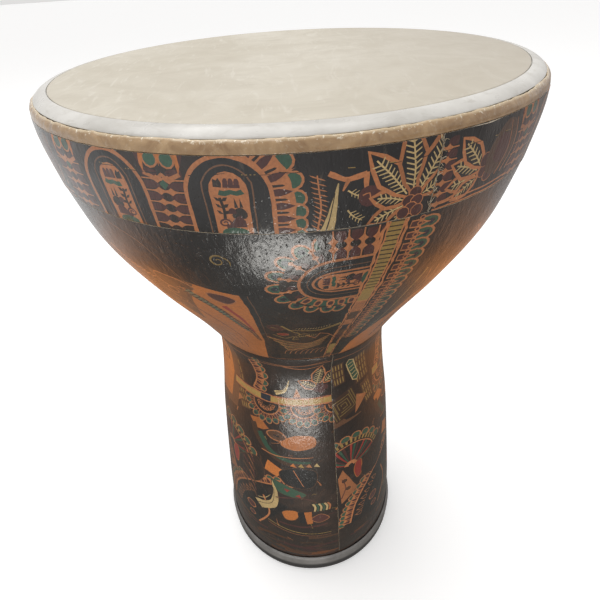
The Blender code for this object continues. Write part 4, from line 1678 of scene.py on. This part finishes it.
def patch_field(pen):
    """Orange patches, dark crescents, a grey sweep, a pale horn and stripes."""
    pen.blob([(-26, 30), (-18, 32), (-12, 25), (-16, 23), (-22, 22)], "orange", 0.5, "maroon", smooth=False)
    pen.blob([(-13, 22), (-6, 25), (-1, 20), (-4, 17), (-10, 18)], "brown", 0.9)
    pen.stroke([(-9, 21), (-5, 20)], 1.2, "black")
    pen.blob([(-4, 14), (4, 22), (16, 22), (17, 14), (6, 10)], "orange", 0.4, "copper")
    pen.stroke([(-24, 26), (-18, 10), (-4, -3), (14, -5)], 5.0, "brown", 3.0, tone=0.7)
    pen.stroke([(-19, 20), (-12, 6), (0, -1), (14, -2)], 4.2, "green", 2.4, tone=0.8)
    pen.stroke([(-18, 4), (-8, 2), (16, 3)], 0.9, "copper", 0.5)
    pen.fill([(-14, -5), (-3, -12), (-8, -20), (-17, -16)], "orange")
    pen.blob([(-6, -14), (4, -8), (17, -12), (14, -28), (-2, -26)], "black", 0.5, "brown")
    pen.stroke([(3, -10), (9, -27)], 0.7, "copper", 0.4)
    for k, x in enumerate((1, 6, 11, 16)):
        pen.fill([(x, -6), (x + 2, -3), (x + 4, -7)], ("orange", "gold", "copper", "cream")[k])
    pen.blob([(-12, -24), (2, -30), (10, -36), (4, -40), (-8, -36)], "green", 0.4, "brown")
    pen.fill([(-4, -31), (0, -32), (-2, -35)], "red")
    pen.fill([(3, -38), (6, -36), (7, -40)], "red")
    horn(pen, [(-24, -62), (-13, -54), (-10, -40), (-12, -26)], 9.5)
    pen.stroke([(-24, -54), (-18, -50), (-14, -44)], 0.6, "cream", 0.3)
    for k in range(6):
        y = -8 - 8 * k
        pen.stroke([(-34 - k * 0.6, y + 8), (-28, y), (-25, y - 8)], 2.6, ("maroon", "brown")[k % 2], 1.2)
        pen.stroke([(-30, y + 4), (-26, y - 3)], 0.5, "copper", 0.3)
    pen.blob([(-44, -14), (-41, -17), (-42, -30), (-45, -32), (-47, -22)], "red", 0.5, "orange")
    pen.stroke([(-10, -44), (6, -40), (16, -44)], 1.2, "maroon", 0.6)


def low_field(pen):
    """Legs of patches above the plain foot: stripes, feet and a ground line."""
    pen.stroke([(-14, -1), (2, -3), (18, 0)], 1.6, "maroon")
    pen.blob([(-11, 13), (-4, 17), (0, 14), (-3, 6), (-9, 5)], "orange", 0.5, "brown")
    pen.fill([(3, 16), (8, 17), (8.5, 2), (5, 1)], "orange", tone=0.8)
    pen.fill([(-1, 15), (3, 17), (4, 2), (0, 3)], "black")
    pen.blob([(8, 8), (14, 13), (19, 7), (12, 3)], "maroon", 0.4)
    pen.stroke([(-22, -4), (-8, -9), (6, -12), (20, -12)], 0.8, "gold", 0.5)
    pen.stroke([(-22, -7), (-8, -12), (6, -15), (20, -15)], 0.5, "copper", 0.3, tone=0.7)
    for k, ink in enumerate(("cream", "green", "cream", "green", "cream", "copper")):
        pen.stroke([(9 + k * 1.9, 26), (10.5 + k * 1.9, 22), (10 + k * 1.9, 17)], 1.5, ink, 1.1)


def seam_field(pen):
    """Right of the seam: brown panels of slits, a segmented bar, a meander and a striped fan."""
    pen.fill([(-1, -8), (-1, 46), (40, 46), (40, -20), (10, -20)], "dark")
    for x, y, turn, wide, tall in ((1.5, 14, 8, 10, 20), (21, 8, 12, 14, 26), (30, -16, 14, 10, 22)):
        panel = pen.moved(x, y, turn)
        panel.fill([(0, 0), (wide, 0), (wide, tall), (0, tall)], "brown", tone=0.9)
        for level in range(int(tall / 6.5)):
            y = 1 + level * 6.5
            panel.row("slit", [(0.5, y), (wide - 0.5, y)], round(wide / 2.6), 2.4, 5.0)
    bar = pen.moved(14.5, 32, 200)
    pointed = [(-2.6, 0), (0, -2.6), (2.6, 0), (2.6, 18), (0, 20.6), (-2.6, 18)]
    bar.blob(pointed, "green", 0.9, "cream", smooth=False)
    for k in range(5):
        bar.stroke([(-2.2, 2 + 3.6 * k), (2.2, 2 + 3.6 * k)], 0.6, "cream")
    meander = pen.moved(5, -18, 20)
    meander.fill([(-4, -1), (20, -1), (20, 21), (-4, 21)], "brown", tone=0.55)
    for k in range(3):
        reach = 7.0 - 2.4 * k
        square = [(-reach, -reach), (reach, -reach), (reach, reach), (-reach, reach), (-reach, -reach + 3)]
        meander.moved(8, 10).stroke(square, 0.9, "gold", smooth=False, tone=0.6)
    for x in (-2.5, 0, 16.5, 18.5):
        meander.stroke([(x, 0), (x, 20)], 0.9, "gold", smooth=False, tone=0.5)
    pennant = pen.moved(26, -4, -28)
    pennant.fill([(-6, 0), (6, 0), (0, -16)], "copper", tone=0.8)
    pennant.row("tooth", [(3, -1), (-3, -1)], 3, 1.8, 2.0)


def seam_fan(pen):
    fan(pen.moved(3, -2, -4), 34, 12, 172, 7.0)
    pen.blob([(16, -4), (34, 8), (40, -8), (34, -22), (24, -27), (13, -22)], "dark", 0.45, "brown")
    for k in range(5):
        pen.stroke([(18 + 3 * k, -6), (21 + 3 * k, -13), (19 + 3 * k, -22)], 1.6, "brown", 0.4, tone=0.5)
    pen.fill([(-8, -12), (-4, -3), (8, -32), (-6, -45)], "copper", tone=0.75)
    for x, y in ((-3, -17), (0, -28)):
        disc(pen, x, y, 2.4, "brown", 0.5)
    pen.stroke([(-6, -38), (-2, -26), (-5, -14)], 1.0, "maroon", 0.5)


def low_arch(pen):
    """A leaning petal arch low on the stem, right of the seam."""
    path = [(-16, -8), (-14, 14), (-4, 33), (12, 46), (28, 52)]
    pen.fill(path + [(30, 34), (18, 8), (6, -12)], "black")
    pen.stroke([(10, 30), (16, 12), (10, -8)], 1.2)
    fringe(pen, path, 9, 4.6, 1.3)
    pen.row("flame", [(-8, -4), (-5, 14), (4, 28)], 7, 4.6, 6.0)
    disc(pen, 2, 8, 3.4, "maroon", 0.7)
    disc(pen, 4, -2, 2.2, "maroon", 0.5)


# each drawing with its azimuth from the quarter, its height, its turn and its scale
STEM_PLAN = ((patch_field, -13, 153, 0, (1.15, 1.12)), (low_field, -8, 72, 0, (1.15, 1.1)),
             (hanging_fans, 0, 210), (neck_leaves, 0, 214), (copper_band, 0, 210),
             (seam_field, 17.3, 205), (low_arch, 43, 66, -8, (1.2, 1.18)), (seam_fan, 25, 137))


def scatter_marks(sheet, seed, count, low, high):
    """Small faint marks that fill dark ground: short strokes, dots and hooks."""
    marks = random.Random(seed)
    for k in range(count):
        pen = Pen(sheet, marks.uniform(0, 360), marks.uniform(low, high), marks.uniform(0, 360))
        ink = marks.choice(("copper", "gold", "brown", "maroon", "brown", "black"))
        tone = marks.uniform(0.35, 0.9)
        reach = marks.uniform(1.5, 6)
        if marks.random() < 0.25:
            pen.blob(round_shape(reach * 0.6, reach * 0.4, 8), ink, smooth=False)
        else:
            bend = marks.uniform(-1.5, 1.5)
            line = [(-reach, 0), (0, bend), (reach, bend * 0.2)]
            pen.stroke(line, marks.uniform(0.5, 1.6), ink, 0.3, tone=tone)


def marbled_foot(sheet):
    """Long worn smears round the foot, brown over black."""
    marks = random.Random(11)
    for k in range(150):
        azimuth, height = marks.uniform(0, 360), marks.uniform(2, 46) + marks.uniform(0, 14)
        reach = marks.uniform(6, 20)
        ink = marks.choice(("brown", "maroon", "brown", "black", "orange"))
        tone = marks.uniform(0.35, 0.9) * (0.35 if ink == "orange" else 1)
        pen = Pen(sheet, azimuth, height, marks.uniform(-14, 14))
        pen.stroke([(-reach, 0), (0, marks.uniform(-3, 3)), (reach, 0)], marks.uniform(1.5, 5), ink,
                   marks.uniform(0.5, 2), tone=tone)


for quarter in QUARTERS:
    Pen(stem, quarter, 150).fill([(-52, -60), (-52, 40), (52, 40), (52, -60)], "dark", tone=1.1)
scatter_marks(stem, 3, 420, 45, 235)
for quarter in QUARTERS:
    for draw, azimuth, *rest in STEM_PLAN:
        draw(Pen(stem, quarter + azimuth, *rest))
marbled_foot(stem)
# A dark band round the top of the stem, just under the neck where the bowl meets it: painted shade of the
# neck's hollow. A thin copper line runs below it.
ring = [(stem.per_degree * a, 1.0 * math.sin(a * 0.1)) for a in range(-170, 191, 4)]
Pen(stem, 0, 248.5, right_round=True).stroke(ring, 3.4, "dark", smooth=False)
Pen(stem, 0, 245, right_round=True).stroke(ring, 0.6, "copper", smooth=False, tone=0.7)
print(len(stem.shapes), "shapes on the stem")

# %% [markdown]
# ## Varnish
#
# One finish serves all three wraps. The ink comes from the sheet. Over it lie brush marks and pits in
# the varnish, a slight waviness of the paper, and a clear coat that breaks the lamps into flecks.

# %% Varnished print


def print_finish(name, wear, worn_ink, gloss):
    finish = Finish(name, 0.46, Specular_IOR_Level=0.35, Coat_Weight=gloss, Coat_IOR=1.5)
    ink = finish.attribute("ink", "Color")
    cloud = finish.noise(38, 5, 0.65, distortion=0.6)
    fleck = finish.noise(900, 2, 0.6)
    strokes = finish.noise(330, 4, 0.65, finish.stretched((1, 1, 0.35), (0.2, 0.1, 0.4)), 0.6)
    pits = finish.cells(520)
    worn = finish.blend(finish.ramp(cloud, 0.50, 0.72, 0, wear), ink, worn_ink)
    worn = finish.blend(finish.ramp(fleck, 0.35, 0.65, 0, 0.22), worn, (0.012, 0.010, 0.009))
    worn = finish.blend(finish.ramp(strokes, 0.62, 0.78, 0, 0.16), worn, (0.45, 0.36, 0.27))
    finish.set("Base Color", worn)
    finish.set("Roughness", finish.ramp(cloud, 0.3, 0.7, 0.36, 0.55))
    finish.set("Coat Roughness", finish.ramp(cloud, 0.3, 0.7, 0.10, 0.22))
    relief = finish.bump(finish.noise(26, 2, 0.5), 0.0006)
    relief = finish.bump(strokes, 0.00030, relief)
    relief = finish.bump(finish.ramp(pits, 0.0, 0.25, 0, 1), 0.00010, relief)
    finish.set("Normal", relief)
    finish.set("Coat Normal", relief)
    return finish.material


def round_noise(turn, height, frequency, seed):
    """Noise on a cylinder, so that it meets itself after one turn."""
    return noise.noise(Vector((math.cos(turn) * frequency, math.sin(turn) * frequency, height + seed)))


def cut_edge(azimuth):
    """The rim band's top edge was cut by hand, so it wanders by a few tenths of a millimetre."""
    return 0.28 * round_noise(math.radians(azimuth), 0, 9, 2)


def loose_edge(azimuth, up):
    """The band's top edge has come unstuck for a few degrees, and stands off the glue."""
    return 0.8 * math.exp(-((azimuth - 32.5) / 2.6) ** 2) * max(0.0, (up - 25.5) / 3.2) ** 2


rim_varnish = print_finish("rim_varnish", 0.14, (0.06, 0.042, 0.032), 0.7)
bowl_varnish = print_finish("bowl_varnish", 0.25, (0.075, 0.055, 0.040), 0.8)
stem_varnish = print_finish("stem_varnish", 0.35, (0.10, 0.045, 0.022), 0.7)
place(make_wrap(rim, rim_varnish, cut_edge, loose_edge), "rim_print", "rim_wrap")
place(make_wrap(bowl, bowl_varnish), "bowl_print", "bowl_wrap")
place(make_wrap(stem, stem_varnish), "stem_print", "stem_wrap")

# %% [markdown]
# ## Glue bead
#
# Below the bare collar runs a bead of amber glue, wiped on with a finger: lumpy, thin and ragged at its
# upper edge, with short runs here and there. It could be a torus with displacement, but the ragged
# edge is easier to say in numbers, so the bead is built as a grid of angles: round the drum, and down
# the shoulder. Its two borders and its thickness are noises that repeat after one turn.

# %% Glue bead
GLUE_STEPS, GLUE_ROWS = 900, 15
GLUE_TOP, GLUE_BOTTOM = 42.6, 13.4
GLUE_BED = 8.12


def glue_section(turn):
    """The bead's closed section at one azimuth: (distance, angle) from the shoulder's centre, and reach."""
    ragged = 3.2 * round_noise(turn, 0, 9, 1.0) + 1.9 * round_noise(turn, 0, 34, 2.0)
    ragged += 1.0 * round_noise(turn, 0, 90, 3.0)
    top = GLUE_TOP + ragged
    bottom = GLUE_BOTTOM + 0.7 * round_noise(turn, 0, 20, 4.0)
    section = []
    for k in range(GLUE_ROWS):
        share = k / (GLUE_ROWS - 1)
        angle = top + (bottom - top) * share
        lump = 0.30 * round_noise(turn, share * 0.6, 26, 5.0)
        lump += 0.16 * round_noise(turn, share * 1.6, 80, 6.0)
        body = math.sin(math.pi * min(1.0, share * 1.15 + 0.03)) ** 0.7
        section.append((9.02 + body * (0.30 + lump), angle, share))
    bed_top = min(top, 43.0)
    for k in range(4):
        share = 1 - k / 3
        section.append((GLUE_BED, bed_top + (bottom - bed_top) * share, share))
    return section


def glue_finish():
    finish = Finish("amber_glue", 0.3, Specular_IOR_Level=0.5, Coat_Weight=0.5, Coat_Roughness=0.12)
    share = finish.attribute("share", "Fac")
    cloud = finish.noise(70, 5, 0.65, distortion=0.8)
    specks = finish.noise(620, 3, 0.7)
    base = finish.blend(finish.ramp(cloud, 0.34, 0.66), (0.235, 0.125, 0.05), (0.47, 0.31, 0.16))
    edge = finish.maths("ADD", share, finish.ramp(cloud, 0.3, 0.7, -0.16, 0.16))
    base = finish.blend(finish.ramp(edge, 0.04, 0.26, 0.75, 0.0), base, (0.70, 0.56, 0.36))
    fading = finish.ramp(edge, 0.18, 0.42, 1.0, 0.12)
    flecks = finish.maths("MULTIPLY", finish.ramp(specks, 0.56, 0.66), fading)
    finish.set("Base Color", finish.blend(flecks, base, (0.86, 0.78, 0.62)))
    finish.set("Roughness", finish.ramp(cloud, 0.3, 0.7, 0.22, 0.46))
    finish.set("Normal", finish.bump(specks, 0.00012, finish.bump(cloud, 0.0007)))
    return finish.material


def make_glue():
    points, shares = [], []
    for i in range(GLUE_STEPS):
        turn_angle = math.tau * i / GLUE_STEPS
        for distance, angle, share in glue_section(turn_angle):
            radius = SHOULDER.x + distance * math.cos(math.radians(angle))
            height = SHOULDER.y + distance * math.sin(math.radians(angle))
            x, y = radius * math.sin(turn_angle), -radius * math.cos(turn_angle)
            points.append((x * MM, y * MM, height * MM))
            shares.append(share)
    ring = GLUE_ROWS + 4
    faces = []
    for i in range(GLUE_STEPS):
        here, there = i * ring, (i + 1) % GLUE_STEPS * ring
        for k in range(ring):
            step = (k + 1) % ring
            faces.append((here + k, here + step, there + step, there + k))
    mesh = new_mesh("glue_bead", points, faces=faces)
    layer = mesh.attributes.new("share", "FLOAT", "POINT")
    layer.data.foreach_set("value", shares)
    mesh.materials.append(glue_finish())
    mesh.shade_smooth()
    return new_object("glue_bead", mesh)


place(make_glue(), "amber_adhesive", "head_glue_band")

# %% [markdown]
# ## Frayed seam
#
# Where the rim band's two ends meet, loose fibres stick out of the cut. One more tree does this: short
# bent threads on the points of a line, each with its own turn and length from a fixed seed, swept into
# round fibres. They are made flat, beside the sheet, and go round the drum through the roll tree.

# %% Frayed threads


def make_thread_tree():
    tree, given, result = new_tree("frayed_threads", (
        ("Count", "NodeSocketInt"), ("Length", "NodeSocketFloat"), ("Thickness", "NodeSocketFloat"),
        ("Spread", "NodeSocketFloat"), ("Seed", "NodeSocketInt"), ("Fibre", "NodeSocketMaterial")))
    curve = add_node(tree, "GeometryNodeMeshToCurve")
    points = add_node(tree, "GeometryNodeCurveToPoints", mode="COUNT")
    thread = add_node(tree, "GeometryNodeCurveQuadraticBezier", {
        "Resolution": 6, "Start": (0, 0, -0.02), "Middle": (0.45, 0.16, 0.10), "End": (1.0, -0.06, 0.03)})
    turned = add_node(tree, "FunctionNodeRandomValue", data_type="FLOAT")
    wide = add_node(tree, "ShaderNodeMath", {1: -1.0}, operation="MULTIPLY")
    angle = add_node(tree, "ShaderNodeCombineXYZ")
    sizes = add_node(tree, "FunctionNodeRandomValue", data_type="FLOAT")
    low = add_node(tree, "ShaderNodeMath", {1: 0.25}, operation="MULTIPLY")
    copies = add_node(tree, "GeometryNodeInstanceOnPoints")
    real = add_node(tree, "GeometryNodeRealizeInstances")
    profile = add_node(tree, "GeometryNodeCurvePrimitiveCircle", {"Resolution": 5})
    swept = add_node(tree, "GeometryNodeCurveToMesh", {"Fill Caps": True})
    fibre = add_node(tree, "GeometryNodeSetMaterial")
    wire(tree, (given, "Geometry", curve, "Mesh"), (curve, "Curve", points, "Curve"),
         (given, "Count", points, "Count"), (given, "Spread", wide, 0), (wide, 0, turned, 2),
         (given, "Spread", turned, 3), (given, "Seed", turned, "Seed"), (turned, 1, angle, "Z"),
         (given, "Length", low, 0), (low, 0, sizes, 2), (given, "Length", sizes, 3),
         (given, "Seed", sizes, "Seed"), (points, "Points", copies, "Points"),
         (thread, "Curve", copies, "Instance"), (angle, "Vector", copies, "Rotation"),
         (sizes, 1, copies, "Scale"), (copies, "Instances", real, "Geometry"),
         (given, "Thickness", profile, "Radius"), (real, "Geometry", swept, "Curve"),
         (profile, "Curve", swept, "Profile Curve"), (swept, "Mesh", fibre, "Geometry"),
         (given, "Fibre", fibre, "Material"), (fibre, "Geometry", result, "Geometry"))
    return tree


def make_threads(sheet, material):
    """Threads along the seam, each with a random turn and length."""
    tree = make_thread_tree()
    seam = sheet.seam * sheet.per_degree
    heights = [1.0 + k * 0.9 for k in range(30)]
    places = [(seam + 0.25 * math.sin(h * 2.1), h, 0.02) for h in heights]
    line = new_object("seam_threads", new_mesh("seam_line", places, line_edges(len(places))))
    run_tree(line, tree, Count=34, Length=3.4, Thickness=0.085, Spread=3.1, Seed=4, Fibre=material)
    roll(line, sheet, material)
    return line


fibre = Finish("seam_fibre", 0.6)
mix = fibre.ramp(fibre.noise(500), 0.4, 0.6)
fibre.set("Base Color", fibre.blend(mix, (0.30, 0.21, 0.12), (0.62, 0.52, 0.38)))
place(make_threads(rim, fibre.material), "rim_print", "rim_wrap")

# %% [markdown]
#
# The dressed drum's box is measured, and its height and width are printed. The dressed drum must stay as
# large as the imported one.

# %% Finish
dressed_low, dressed_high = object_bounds()
dressed_size = (dressed_high - dressed_low) / MM
print("dressed height", round(dressed_size.z, 2), "mm; width", round(dressed_size.x, 2))
